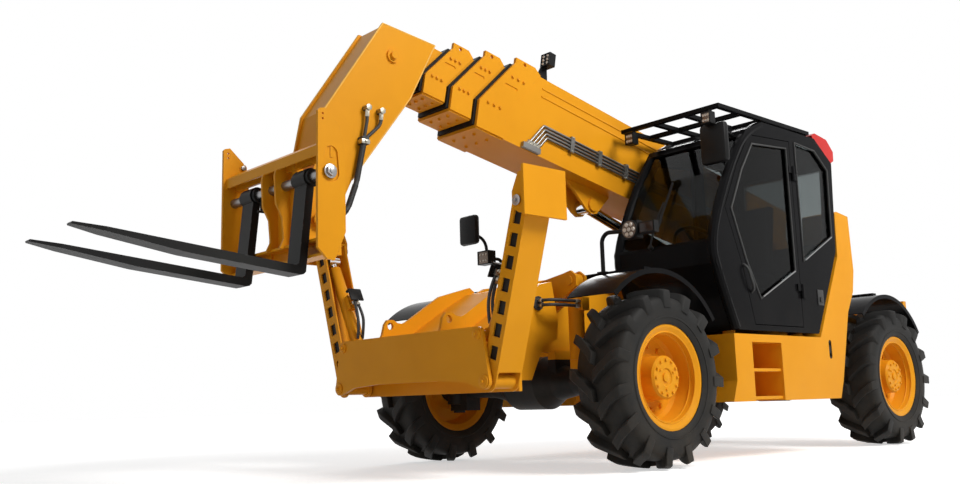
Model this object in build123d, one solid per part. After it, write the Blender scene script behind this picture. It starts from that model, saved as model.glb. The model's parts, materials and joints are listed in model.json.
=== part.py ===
from build123d import *
import math
import os

# Telescopic handler: X forward, Y to the cab side (left), Z up, ground at Z = 0.

# Running gear
TYRE_R = 580.0
TYRE_WIDTH = 400.0
TYRE_OUTER_Y = 1244.0
LUG_HEIGHT = 36.0
LUG_COUNT = 15
LUG_WIDTH = 52.0
LUG_SLANT = 42.0
RIM_R = 305.0
RIM_FLANGE = 37.0
RIM_EDGE = 18.0
RIM_WALL = 13.0
HUB_R = 145.0
HUB_FACE = 140.0
HUB_INNER = 85.0
WHEELBASE = 3250.0
FRONT_AXLE_X = 300.0
KINGPIN_Y = 860.0
YOKE_HALF_GAP = 135.0
YOKE_ARM = 50.0
YOKE_HALF_WIDTH = 70.0
AXLE_TUBE_R = 85.0
DIFF_R = 190.0
AXLE_PAD = 100.0
AXLE_PAD_RISE = 160.0
FENDER_R = 706.0
FENDER_SHEET = 8.0
FENDER_OUTER_Y = 1180.0
FENDER_WIDTH = 400.0
FENDER_LIP = 26.0
FENDER_BRACKET = 26.0
FENDER_FRONT_DEG = 48.0
FENDER_REAR_DEG = 146.0

# Chassis
FRAME_HALF_GAP = 240.0
FRAME_PLATE = 25.0
BEAM_FRONT_X = 1512.0
BEAM_PLATE = 25.0
BEAM_SLOT = 229.0
BEAM_CORNER_R = 47.0
BEAM_EAR_X = 1400.0
BEAM_EAR_Y = 310.0
BEAM_EAR_Z = 988.0
BEAM_EAR_R = 25.0
NOSE_HALF_WIDTH = 480.0
BODY_HALF_WIDTH = 1200.0
BODY_INNER_Y = 290.0
BODY_FRONT_X = -488.0
BODY_TOP_Z = 886.0
BODY_LOW_Z = 408.0
BODY_TURN_Z = 555.0
BODY_WALL = 30.0
STEP_FRONT_X = -709.0
STEP_REAR_X = -1103.0
STEP_DEPTH = 300.0
STEP_HOLES = 6
STEP_HOLE_ROWS = 3
STEP_HOLE_R = 14.0
SLOT_X = -1838.0
SLOT_LOW_Z = 742.0
SLOT_HIGH_Z = 846.0
SLOT_R = 23.0
SWAY_X = 430.0
SWAY_Y = 545.0
SWAY_TOP_Z = 1270.0
SWAY_EYE = 34.0
HOSE_LEVEL = 1105.0
HOSE_R = 11.0
HOSE_PITCH = 32.0
VALVE_FRONT = 30.0
GUSSET_HOLE_X = 745.0
GUSSET_HOLE_R = 34.0
HOOD_SHEET = 25.0
HOOD_TOP_Z = 1450.0
HOOD_HINGE_Y = -296.0
LOUVRES = 9
LOUVRE_PITCH = 62.0
LOUVRE_WIDTH = 26.0
TAIL_X = -3795.0
TAIL_HALF_WIDTH = 1000.0
HITCH_PIN_R = 16.5

# Stabilisers
LEG_PIN_Y = 758.0
LEG_PIN_Z = 576.0
LEG_LEAN = 17.0
LEG_DEPTH = 205.0
LEG_WIDTH = 126.0
LEG_PLATE = 12.0
LEG_LENGTH = 1130.0
LEG_PIN_R = 30.0
LEG_HOLES = 7
LEG_HOLE_PITCH = (LEG_LENGTH - 308.0) / (LEG_HOLES - 1)
RAM_PIN_Y = 706.0
RAM_PIN_Z = 860.0
RAM_PIN_R = 25.0
RAM_BARREL_R = 45.0
RAM_ROD_R = 25.0
RAM_SEAT = LEG_LENGTH - 130.0
PAD_PIN = LEG_LENGTH - 35.0
PAD_REACH = 112.0
PAD_LENGTH = 360.0
PAD_HEIGHT = 300.0
PAD_SHEET = 18.0

# Boom, in its own frame: s along the boom, t square to it, from the pivot pin
BOOM_ANGLE = 10.9
PIVOT_X = -2750.0
PIVOT_Z = 1800.0
PIVOT_PIN_R = 55.0
BOOM_MID_T = 155.0
BOOM_TAIL_S = -250.0
OUTER_FRONT_S = 3805.0
STAGE_STEP = 222.0
STAGE_HALF_WIDTHS = [204.0, 167.0, 132.0, 100.0]
STAGE_HEIGHTS = [624.0, 522.0, 426.0, 330.0]
STAGE_WALLS = [14.0, 12.0, 10.0, 10.0]
STAGE_TAILS_S = [BOOM_TAIL_S, 250.0, 450.0, 650.0]
NOSE_SQUARE = 0.33
NOSE_RAKE = 300.0
COLLAR_LENGTH = 265.0
COLLAR_CLEAR = 8.0
COLLAR_PLATE = 12.0
COLLAR_EAR = 42.0
COLLAR_RECESS = 6.0
COLLAR_SLOT_R = 11.0
COLLAR_HOLE_R = 14.0
PAD_PROUD = 22.0
NECK_HALF_WIDTH = 143.0
NECK_WALL = 18.0
NECK_LIP = 14.0
NECK_BOSS_X = 1691.0
NECK_BOSS_Z = 2741.0
NECK_PORTS = [(1918.0, 2336.0), (1809.0, 2331.0)]
NECK_CLAMP = (1950.0, 2105.0)
GUARD_HOSE_R = 17.0
TILT_PIN_R = 40.0
LIFT_EYE_X = -330.0
LIFT_EYE_Z = 1980.0
LIFT_SLOPE = 17.0
LIFT_LENGTH = 2450.0
LIFT_BARREL_R = 85.0
LIFT_ROD_R = 45.0
LIFT_BARREL_LENGTH = 1750.0
LIFT_PIN_R = 40.0
LIFT_EYE_R = 58.0
PIPE_R = 10.0
PIPE_COUNT = 4
PIPE_PITCH = 28.0
PIPE_RISE = 160.0
PIPE_BEND = 425.0
PIPE_CLAMPS = 6
PIPE_CLAMP_PITCH = 324.0
PIPE_START = 700.0

# Fork carriage
CARRIAGE_HALF_WIDTH = 563.0
CARRIAGE_SIDE = 20.0
RIB_Y = 75.0
FORK_SHAFT_X = 2463.0
FORK_SHAFT_Z = 1763.0
FORK_SHAFT_R = 30.0
TILT_X = FORK_SHAFT_X - 173.0
TILT_Z = FORK_SHAFT_Z - 203.0
FORK_SPREAD_Y = 307.0
FORK_WIDTH = 130.0
FORK_THICK = 50.0
FORK_TIP_X = -TAIL_X
FORK_TILT = 5.9
FORK_HEEL_X = FORK_SHAFT_X + 38.0
FORK_HEEL_Z = FORK_SHAFT_Z - 575.0
FORK_SHANK = 590.0
FORK_TIP_THICK = 14.0

# Cab
CAB_OUTER_Y = BODY_HALF_WIDTH
CAB_INNER_Y = 290.0
CAB_WALL = 45.0
CAB_FLOOR_Z = 914.0
CAB_ROOF_Z = 2530.0
DOOR_GAP = 6.0
DOOR_AXIS_X = -1455.0
DOOR_AXIS_Y = CAB_OUTER_Y + 14.0
HINGE_HEIGHT = 55.0
HINGE_LEVELS = [1180.0, 2120.0]
GLASS = 8.0
GLASS_FIT = 0.3
CAB_SIDE = [
    (-562, CAB_FLOOR_Z), (-331, 1379), (-318, 1540), (-397, 1753), (-594, 2109), (-839, 2437),
    (-1081, CAB_ROOF_Z), (-1863, CAB_ROOF_Z), (-2122, 2356), (-2081, 1802), (-2064, 1600),
    (-1679, CAB_FLOOR_Z),
]
SCREEN = [(-322, 1560), (-397, 1753), (-594, 2109), (-800, 2385)]
DOOR_SIDE = [
    (-775, 955), (-650, 1400), (-480, 1800), (-680, 2150), (-865, 2400), (-1455, 2440), (-1455, 955),
]
DOOR_WINDOW = [
    (-870, 1150), (-715, 1420), (-560, 1795), (-735, 2110), (-900, 2330), (-1390, 2370), (-1390, 1390),
]
QUARTER = [(-1530, 1480), (-2010, 1720), (-2030, 2280), (-1840, 2420), (-1530, 2440)]
RIGHT_WINDOW = [(-760, 1500), (-560, 1795), (-735, 2110), (-900, 2330), (-1390, 2370), (-1390, 1500)]
REAR_LOW_Z = 1680.0
REAR_HIGH_Z = 2300.0
GUARD_BOTTOM_Z = CAB_ROOF_Z + 16.0
GUARD_BAR = 42.0
GUARD_RUNGS = 5
GUARD_RAILS = 4
GUARD_FRONT_X = -492.0
GUARD_REAR_X = -1788.0
LAMP_POST_R = 15.0
LAMP_LEFT_Y = 672.0
LAMP_RIGHT_Y = 110.0 - BODY_HALF_WIDTH
LAMP_RIGHT_Z = 1700.0
GUARD_LAMPS_Y = [CAB_INNER_Y + 116.0, CAB_OUTER_Y - 80.0]

# Running clearance of pins, rods and flat faces that turn against each other
RUN = 0.3

AXLE_Z = TYRE_R
REAR_AXLE_X = FRONT_AXLE_X - WHEELBASE
WHEEL_Y = TYRE_OUTER_Y - TYRE_WIDTH / 2
BEAM_TOP_Z = RAM_PIN_Z + BEAM_CORNER_R
LEG_MID_X = BEAM_FRONT_X - BEAM_PLATE - BEAM_SLOT / 2
BEAM_REAR_X = BEAM_FRONT_X - BEAM_PLATE - BEAM_SLOT
FRAME_OUTER_Y = FRAME_HALF_GAP + FRAME_PLATE
LIFT_BASE_X = LIFT_EYE_X - LIFT_LENGTH * math.cos(math.radians(LIFT_SLOPE))
LIFT_BASE_Z = LIFT_EYE_Z - LIFT_LENGTH * math.sin(math.radians(LIFT_SLOPE))

RAM_SEAT_Y = LEG_PIN_Y + RAM_SEAT * math.sin(math.radians(LEG_LEAN))
RAM_SEAT_Z = LEG_PIN_Z + RAM_SEAT * math.cos(math.radians(LEG_LEAN))
RAM_LENGTH = math.hypot(RAM_SEAT_Y - RAM_PIN_Y, RAM_SEAT_Z - RAM_PIN_Z)
RAM_RISE = math.degrees(math.atan2(RAM_SEAT_Z - RAM_PIN_Z, RAM_SEAT_Y - RAM_PIN_Y))

# Frames of the boom, the lift cylinder, the left leg and its cylinder
BOOM = Pos(PIVOT_X, 0, PIVOT_Z) * Rot(0, -BOOM_ANGLE, 0)
LIFT = Pos(LIFT_BASE_X, 0, LIFT_BASE_Z) * Rot(0, -LIFT_SLOPE, 0)
LEG = Pos(LEG_MID_X, LEG_PIN_Y, LEG_PIN_Z) * Rot(-LEG_LEAN, 0, 0)
RAM = Pos(LEG_MID_X, RAM_PIN_Y, RAM_PIN_Z) * Rot(RAM_RISE, 0, 0) * Rot(0, 0, 90)


def plate_xz(points, y_low, y_high):
    """Plate with an outline in X and Z between two Y values."""
    outline = make_face(Polyline(*[(x, y_low, z) for x, z in points], close=True))
    return extrude(outline, y_high - y_low, dir=(0, 1, 0))


def plate_yz(points, x_low, x_high):
    """Plate with an outline in Y and Z between two X values."""
    outline = make_face(Polyline(*[(x_low, y, z) for y, z in points], close=True))
    return extrude(outline, x_high - x_low, dir=(1, 0, 0))


def plate_xy(points, z_low, z_high):
    """Plate with an outline in X and Y between two Z values."""
    outline = make_face(Polyline(*[(x, y, z_low) for x, y in points], close=True))
    return extrude(outline, z_high - z_low, dir=(0, 0, 1))


def block(x_low, x_high, y_low, y_high, z_low, z_high):
    """Box between two corners."""
    middle = Pos((x_low + x_high) / 2, (y_low + y_high) / 2, (z_low + z_high) / 2)
    return middle * Box(x_high - x_low, y_high - y_low, z_high - z_low)


def bar(start, end, radius):
    """Round bar between two points."""
    run = Vector(*end) - Vector(*start)
    seat = (Align.CENTER, Align.CENTER, Align.MIN)
    return Plane(origin=start, z_dir=run) * Cylinder(radius, run.length, align=seat)


def bar_x(y, z, radius, x_low, x_high):
    return bar((x_low, y, z), (x_high, y, z), radius)


def bar_y(x, z, radius, y_low, y_high):
    return bar((x, y_low, z), (x, y_high, z), radius)


def turned(points, axis_y=0.0):
    """Solid of revolution about the Y axis from an outline in Y and radius."""
    outline = make_face(Polyline(*[(0, y, r) for y, r in points], close=True))
    return Pos(0, axis_y, 0) * revolve(outline, Axis.Y, 360)


def tube(points, bend_r, radius):
    """Round tube along straight runs joined by arcs."""
    path = FilletPolyline(*points, radius=bend_r)
    return sweep(Plane(origin=path @ 0, z_dir=path % 0) * Circle(radius), path=path)


def right_of(shape):
    """The same piece on the other side of the machine."""
    return mirror(shape, about=Plane.XZ)


def pair(shape):
    return shape + right_of(shape)


def inset(points, amount):
    """Outline moved inwards by an amount: each side is shifted and the corners are met again."""
    count = len(points)
    area = sum(points[i - 1][0] * points[i][1] - points[i][0] * points[i - 1][1] for i in range(count))
    turn = 1 if area > 0 else -1
    lines = []
    for i in range(count):
        (ax, az), (bx, bz) = points[i - 1], points[i]
        run = math.hypot(bx - ax, bz - az)
        nx, nz = -(bz - az) / run * turn, (bx - ax) / run * turn
        lines.append((nx, nz, nx * ax + nz * az + amount))
    corners = []
    for i in range(count):
        (a1, b1, c1), (a2, b2, c2) = lines[i], lines[(i + 1) % count]
        cross = a1 * b2 - a2 * b1
        corners.append(((c1 * b2 - c2 * b1) / cross, (a1 * c2 - a2 * c1) / cross))
    return corners


def save(node, *solids):
    shape = solids[0] if len(solids) == 1 else Compound(children=list(solids))
    export_step(shape, f"parts/{node}.step")


# Wheels

def tyre():
    """Tyre with slanted lugs on both shoulders, about its own centre."""
    half = TYRE_WIDTH / 2
    seat_r = RIM_R + RUN
    tread_r = TYRE_R - LUG_HEIGHT
    flange_y = half - 50
    lower = [
        (flange_y, seat_r),
        (flange_y, RIM_R + RIM_FLANGE + RUN),
        (half - 26, RIM_R + RIM_FLANGE + RUN),
        (half, tread_r - 110),
        (half - 8, tread_r - 26),
        (half - 40, tread_r),
    ]
    carcass = turned(lower + [(-y, r) for y, r in reversed(lower)])
    crown = [(half - 4, tread_r - 60), (half - 4, TYRE_R - 24), (half - 30, TYRE_R)]
    envelope = turned([(half - 4, 0)] + crown + [(-y, r) for y, r in reversed(crown)] + [(4 - half, 0)])
    length = half * 1.25
    lugs = []
    for index in range(LUG_COUNT):
        for side in (1, -1):
            lug = Box(LUG_WIDTH, length, 2 * LUG_HEIGHT)
            lug = Pos(0, side * (half * 0.53), tread_r + 8) * Rot(0, 0, side * LUG_SLANT) * lug
            lug = lug & envelope
            turn = 360 / LUG_COUNT * (index + (0.5 if side > 0 else 0.0))
            lugs.append(Rot(0, turn, 0) * lug)
    return carcass.fuse(*lugs)


def rim():
    """Deep dish rim with its hub, outer side towards +Y, about the wheel's centre."""
    flange_y = TYRE_WIDTH / 2 - 50
    edge_y = flange_y + RIM_EDGE
    top_r = RIM_R + RIM_FLANGE
    dish_r = RIM_R - RIM_WALL - 18
    outline = [
        (-edge_y, top_r), (-flange_y, top_r), (-flange_y, RIM_R), (flange_y, RIM_R),
        (flange_y, top_r), (edge_y, top_r), (edge_y, top_r - 14), (flange_y, RIM_R - RIM_WALL),
        (20, dish_r), (-4, dish_r - 20), (-4, HUB_R + 12), (10, HUB_R), (HUB_FACE - 14, HUB_R - 4),
        (HUB_FACE, HUB_R - 16), (HUB_FACE, 60), (HUB_FACE - 8, 54), (HUB_FACE - 8, 0), (-HUB_INNER, 0),
        (-HUB_INNER, HUB_R - 20),
        (-28, HUB_R + 20), (-28, dish_r - 8), (-flange_y, RIM_R - RIM_WALL), (-edge_y, top_r - 14),
    ]
    return turned(outline)


def knuckle(axle_x):
    """Left steering knuckle: kingpin barrel and the stub that carries the hub."""
    height = YOKE_HALF_GAP - RUN
    barrel = Pos(axle_x, KINGPIN_Y, AXLE_Z) * Cylinder(92, 2 * height)
    hub_end = WHEEL_Y - HUB_INNER - RUN
    stub = bar_y(axle_x, AXLE_Z, 115, KINGPIN_Y, hub_end)
    return barrel + stub


def axle(axle_x):
    """Drive axle: housing with its differential bulge and a yoke at each end."""
    end_y = KINGPIN_Y - 100
    half = [
        (end_y, 0), (end_y, AXLE_TUBE_R), (420, AXLE_TUBE_R + 10), (260, 125),
        (150, DIFF_R),
    ]
    housing = Pos(axle_x, 0, AXLE_Z) * turned(half + [(-y, r) for y, r in reversed(half)])
    top = YOKE_HALF_GAP + YOKE_ARM
    root = block(axle_x - YOKE_HALF_WIDTH, axle_x + YOKE_HALF_WIDTH, end_y - 70, end_y,
                 AXLE_Z - top, AXLE_Z + top)
    yoke = root
    for side in (1, -1):
        low = AXLE_Z + side * (YOKE_HALF_GAP + YOKE_ARM / 2)
        arm = block(axle_x - YOKE_HALF_WIDTH, axle_x + YOKE_HALF_WIDTH, end_y - 1, KINGPIN_Y,
                    low - YOKE_ARM / 2, low + YOKE_ARM / 2)
        eye = Pos(axle_x, KINGPIN_Y, low) * Cylinder(YOKE_HALF_WIDTH, YOKE_ARM)
        cap = Pos(axle_x, KINGPIN_Y, low + side * (YOKE_ARM / 2 + 8)) * Cylinder(46, 16)
        yoke = yoke + arm + eye + cap
    mount = block(axle_x - AXLE_PAD, axle_x + AXLE_PAD, FRAME_HALF_GAP - 10, FRAME_OUTER_Y + 35,
                  AXLE_Z, AXLE_Z + AXLE_PAD_RISE)
    return housing + pair(yoke + mount)


def fender(axle_x):
    """Left mudguard: an arc of sheet over the tyre with its bracket to the frame."""
    start = math.radians(FENDER_FRONT_DEG)
    end = math.radians(FENDER_REAR_DEG)
    outer = FENDER_R + FENDER_SHEET

    def at(radius, angle):
        return (axle_x + radius * math.cos(angle), 0, AXLE_Z + radius * math.sin(angle))

    def band(inner_r, outer_r, y_low, y_high):
        middle = (start + end) / 2
        edges = [
            ThreePointArc(at(inner_r, start), at(inner_r, middle), at(inner_r, end)),
            Line(at(inner_r, end), at(outer_r, end)),
            ThreePointArc(at(outer_r, end), at(outer_r, middle), at(outer_r, start)),
            Line(at(outer_r, start), at(inner_r, start)),
        ]
        return Pos(0, y_low, 0) * extrude(make_face(Curve() + edges), y_high - y_low, dir=(0, 1, 0))

    sheet = band(FENDER_R, outer, FENDER_OUTER_Y - FENDER_WIDTH, FENDER_OUTER_Y)
    sheet = sheet + band(FENDER_R - FENDER_LIP, outer, FENDER_OUTER_Y - FENDER_SHEET, FENDER_OUTER_Y)
    top_z = AXLE_Z + outer
    bracket = block(axle_x - 60, axle_x + 10, FRAME_OUTER_Y, FENDER_OUTER_Y - 120, top_z - 3,
                    top_z + FENDER_BRACKET)
    return sheet + bracket


# Chassis

def main_frame():
    """Two long side plates with the boom tower, nose box, cross members and pin bosses."""
    rear = REAR_AXLE_X
    outline = [
        (BEAM_REAR_X, 640), (BEAM_REAR_X, BEAM_TOP_Z), (900, 1130), (560, 1290), (200, 1340),
        (-300, 1230), (-1500, 1150), (-1900, 1250), (-2250, 1620), (-2600, 1965),
        (-2750, 2000), (-2900, 1965), (-2985, 1850), (-3060, 1500), (-3420, 1290),
        (-3420, 790), (rear + 600, 790), (-2200, 480), (-250, 480), (-100, 790), (700, 790),
    ]
    side = plate_xz(outline, FRAME_HALF_GAP, FRAME_OUTER_Y)
    side = side - bar_y(PIVOT_X, PIVOT_Z, PIVOT_PIN_R + RUN, 0, BODY_HALF_WIDTH)
    nose = [
        (BEAM_REAR_X, 590), (BEAM_REAR_X, BEAM_TOP_Z), (900, 1130), (700, 1240), (598, 1262),
        (549, 1000), (560, 866), (697, 825), (825, 590),
    ]
    nose_side = plate_xz(nose, NOSE_HALF_WIDTH - FRAME_PLATE, NOSE_HALF_WIDTH)
    nose_side = nose_side - bar_y(GUSSET_HOLE_X, HOSE_LEVEL, GUSSET_HOLE_R, 0, NOSE_HALF_WIDTH + 1)
    frame = pair(side) + pair(nose_side)
    skin = [
        (BEAM_REAR_X, BEAM_TOP_Z), (900, 1130), (700, 1240), (598, 1262),
        (598, 1246), (695, 1222), (895, 1112), (BEAM_REAR_X, BEAM_TOP_Z - 20),
    ]
    frame = frame + plate_xz(skin, -NOSE_HALF_WIDTH, NOSE_HALF_WIDTH)
    rib = [
        (BEAM_REAR_X, BEAM_TOP_Z - 15), (BEAM_REAR_X, BEAM_EAR_Z + 37), (955, 1216), (660, 1298), (610, 1265),
        (700, 1228), (900, 1118),
    ]
    frame = frame + pair(plate_xz(rib, BEAM_EAR_Y - 12, BEAM_EAR_Y + 12))
    beam_back = [
        (LEG_PIN_Y + 40, LEG_PIN_Z - 62), (LEG_PIN_Y + 40, LEG_PIN_Z + 40),
        (RAM_PIN_Y + 50, RAM_PIN_Z + 20), (RAM_PIN_Y + 20, BEAM_TOP_Z),
    ]
    beam_back = beam_back + [(-y, z) for y, z in reversed(beam_back)]
    frame = frame + plate_yz(beam_back, BEAM_REAR_X - BEAM_PLATE, BEAM_REAR_X)
    for x_low, z_low in ((-420, 485), (-1250, 485), (-2150, 485), (-3380, 900)):
        frame = frame + block(x_low, x_low + 120, -FRAME_HALF_GAP, FRAME_HALF_GAP, z_low, z_low + 85)
    boss_r = LIFT_EYE_R + 12
    for side_sign in (1, -1):
        ends = sorted((side_sign * (LIFT_BARREL_R + 5), side_sign * FRAME_HALF_GAP))
        frame = frame + bar_y(LIFT_BASE_X, LIFT_BASE_Z, boss_r, *ends)
    return frame + pair(axle_seats()) + sway_ears()


def axle_seats():
    """Blocks that carry the two axles under the left side plate."""
    seats = []
    for axle_x in (FRONT_AXLE_X, REAR_AXLE_X):
        seats.append(block(axle_x - AXLE_PAD, axle_x + AXLE_PAD, FRAME_HALF_GAP - 10, FRAME_OUTER_Y + 35,
                           AXLE_Z + AXLE_PAD_RISE, AXLE_Z + AXLE_PAD_RISE + 60))
    return seats[0] + seats[1]


def front_beam():
    """Cross beam for the stabilisers: front plate with round corners, centre box, pins and tie-down ears."""
    lean = math.atan2(LEG_PIN_Y - RAM_PIN_Y, RAM_PIN_Z - LEG_PIN_Z)
    out_y = BEAM_CORNER_R * math.cos(lean)
    out_z = BEAM_CORNER_R * math.sin(lean)
    half = [
        (BEAM_EAR_Y, LEG_PIN_Z + 16), (LEG_PIN_Y - 170, LEG_PIN_Z),
        (LEG_PIN_Y - 25, LEG_PIN_Z - BEAM_CORNER_R),
        (LEG_PIN_Y, LEG_PIN_Z - BEAM_CORNER_R), (LEG_PIN_Y + out_y, LEG_PIN_Z + out_z),
        (RAM_PIN_Y + out_y, RAM_PIN_Z + out_z), (RAM_PIN_Y, BEAM_TOP_Z),
    ]
    plate_x = BEAM_FRONT_X - BEAM_PLATE
    beam = plate_yz(half + [(-y, z) for y, z in reversed(half)], plate_x, BEAM_FRONT_X)
    box_half = RAM_PIN_Y - 166
    beam = beam + block(BEAM_REAR_X, plate_x, -box_half, box_half, BEAM_TOP_Z - 50, BEAM_TOP_Z - 30)
    beam = beam + block(BEAM_REAR_X, plate_x, -box_half, box_half, LEG_PIN_Z + 24, LEG_PIN_Z + 44)
    ear = plate_xz([
        (BEAM_REAR_X, BEAM_TOP_Z - 40), (BEAM_REAR_X, BEAM_EAR_Z + 37), (BEAM_EAR_X - 104, BEAM_EAR_Z + 20),
        (BEAM_EAR_X - 60, BEAM_EAR_Z + 25), (BEAM_EAR_X - 25, BEAM_EAR_Z + 45),
        (BEAM_EAR_X + 25, BEAM_EAR_Z + 42),
        (BEAM_EAR_X + 50, BEAM_EAR_Z + 10), (BEAM_EAR_X + 68, BEAM_EAR_Z - 60), (plate_x, BEAM_TOP_Z - 10),
        (plate_x, BEAM_TOP_Z - 40),
    ], -12, 12)
    ear = ear - bar_y(BEAM_EAR_X, BEAM_EAR_Z, BEAM_EAR_R, -20, 20)
    for side in (1, -1):
        ends = sorted((side * box_half, side * (box_half - 20)))
        beam = beam + block(BEAM_REAR_X, plate_x, *ends, LEG_PIN_Z + 24, BEAM_TOP_Z - 30)
        beam = beam + Pos(0, side * BEAM_EAR_Y, 0) * ear
        for y, z, radius in ((LEG_PIN_Y, LEG_PIN_Z, LEG_PIN_R), (RAM_PIN_Y, RAM_PIN_Z, RAM_PIN_R)):
            beam = beam + bar_x(side * y, z, BEAM_CORNER_R, plate_x, BEAM_FRONT_X)
            beam = beam + bar_x(side * y, z, radius, BEAM_REAR_X, BEAM_FRONT_X + 12)
    return beam


def sway_ears():
    """Two ears on the left side plate that hold the levelling cylinder's upper pin."""
    outline = [
        (FRAME_OUTER_Y - 5, 1040), (FRAME_OUTER_Y - 5, 1290), (SWAY_Y - 60, SWAY_TOP_Z + 55),
        (SWAY_Y + 10, SWAY_TOP_Z + 70), (SWAY_Y + 62, SWAY_TOP_Z + 30), (SWAY_Y + 62, SWAY_TOP_Z - 40),
        (SWAY_Y - 30, SWAY_TOP_Z - 90),
    ]
    ears = None
    for side in (1, -1):
        ends = sorted((SWAY_X + side * SWAY_EYE, SWAY_X + side * (SWAY_EYE + 22)))
        ear = plate_yz(outline, *ends)
        ears = ear if ears is None else ears + ear
    return ears + bar_x(SWAY_Y, SWAY_TOP_Z, 32, SWAY_X - SWAY_EYE - 34, SWAY_X + SWAY_EYE + 34)


def sway_cylinder():
    """Levelling cylinder from the ears down to its bracket on the front axle."""
    foot_z = AXLE_Z + AXLE_TUBE_R
    half = SWAY_EYE - RUN
    foot = block(SWAY_X - half, SWAY_X + half, SWAY_Y - 45, SWAY_Y + 45, foot_z - 60, foot_z + 60)
    arm = block(FRONT_AXLE_X, SWAY_X, SWAY_Y - 45, SWAY_Y + 45, foot_z - 60, foot_z)
    arm = arm - Pos(FRONT_AXLE_X, 0, AXLE_Z) * Rot(90, 0, 0) * Cylinder(AXLE_TUBE_R + 8, 2000)
    body = bar((SWAY_X, SWAY_Y, foot_z + 59), (SWAY_X, SWAY_Y, SWAY_TOP_Z - 100), 55)
    rod = bar((SWAY_X, SWAY_Y, SWAY_TOP_Z - 101), (SWAY_X, SWAY_Y, SWAY_TOP_Z - 30), 30)
    eye = bar_x(SWAY_Y, SWAY_TOP_Z, 52, SWAY_X - half, SWAY_X + half)
    valve = block(SWAY_X - 40, SWAY_X + VALVE_FRONT, SWAY_Y + 40, SWAY_Y + 88,
                  HOSE_LEVEL - 45, HOSE_LEVEL + 45)
    shape = foot + arm + body + rod + eye + valve
    return shape - bar_x(SWAY_Y, SWAY_TOP_Z, 32 + RUN, SWAY_X - 60, SWAY_X + 60)


def beam_hoses():
    """Two hoses from the nose plate's port to the valve on the levelling cylinder."""
    y = SWAY_Y + 64
    wall = NOSE_HALF_WIDTH + RUN
    port = bar_y(GUSSET_HOLE_X, HOSE_LEVEL, GUSSET_HOLE_R + 14, wall, wall + 12)
    port = port + bar_y(GUSSET_HOLE_X, HOSE_LEVEL, GUSSET_HOLE_R - RUN, wall - FRAME_PLATE, wall + 1)
    hoses = port
    for side in (-1, 1):
        z = HOSE_LEVEL + side * HOSE_PITCH / 2
        line = [(GUSSET_HOLE_X, wall, z), (GUSSET_HOLE_X, y - 20, z), (GUSSET_HOLE_X - 120, y, z)]
        line = line + [(SWAY_X + VALVE_FRONT + RUN, y, z)]
        hoses = hoses + tube(line, 60, HOSE_R)
    return hoses


def side_box():
    """Left side box with the step recess, and the upright that wraps the cab's rear."""
    low = [
        (BODY_FRONT_X, BODY_TOP_Z), (-1700, BODY_TOP_Z), (-2085, 1560), (-2100, 1930),
        (-2133, 1945), (-2325, 1922), (-2344, 1462), (-2300, 1280), (-2184, 1104),
        (-2010, BODY_TURN_Z), (-1945, BODY_LOW_Z), (BODY_FRONT_X + 60, BODY_LOW_Z),
        (BODY_FRONT_X, BODY_TURN_Z),
    ]
    lower = [
        (BODY_FRONT_X, BODY_TOP_Z), (-1700, BODY_TOP_Z), (-2110, BODY_TOP_Z),
        (-2010, BODY_TURN_Z), (-1945, BODY_LOW_Z), (BODY_FRONT_X + 60, BODY_LOW_Z),
        (BODY_FRONT_X, BODY_TURN_Z),
    ]
    inner = BODY_HALF_WIDTH - STEP_DEPTH
    box = plate_xz(lower, BODY_INNER_Y, BODY_HALF_WIDTH) + plate_xz(low, inner, BODY_HALF_WIDTH)
    box = box - block(STEP_REAR_X, STEP_FRONT_X, inner, BODY_HALF_WIDTH + 1, BODY_LOW_Z - 1, BODY_TOP_Z - 56)
    for z in (BODY_LOW_Z + 12, BODY_LOW_Z + 212):
        tread = block(STEP_REAR_X, STEP_FRONT_X, inner, BODY_HALF_WIDTH - 20, z, z + 22)
        for row in range(STEP_HOLE_ROWS):
            for place in range(STEP_HOLES):
                x = STEP_REAR_X + (STEP_FRONT_X - STEP_REAR_X) * (place + 0.5) / STEP_HOLES
                y = BODY_HALF_WIDTH - 60 - row * 75
                tread = tread - Pos(x, y, z + 11) * Cylinder(STEP_HOLE_R, 30)
        box = box + tread
    for x in (BODY_FRONT_X - 132, BODY_FRONT_X - 1072):
        for y in (BODY_INNER_Y + 130, BODY_HALF_WIDTH - 130):
            box = box + Pos(x, y, (BODY_TOP_Z + CAB_FLOOR_Z) / 2) * Cylinder(45, CAB_FLOOR_Z - BODY_TOP_Z)
    slot = bar_y(SLOT_X, SLOT_LOW_Z, SLOT_R, BODY_HALF_WIDTH - 80, BODY_HALF_WIDTH + 1)
    slot = slot + bar_y(SLOT_X, SLOT_HIGH_Z, SLOT_R, BODY_HALF_WIDTH - 80, BODY_HALF_WIDTH + 1)
    slot = slot + block(SLOT_X - SLOT_R, SLOT_X + SLOT_R, BODY_HALF_WIDTH - 80, BODY_HALF_WIDTH + 1,
                        SLOT_LOW_Z, SLOT_HIGH_Z)
    link = block(-1900, -700, FRAME_OUTER_Y, BODY_INNER_Y, 560, 760)
    return box - slot + link


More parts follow.
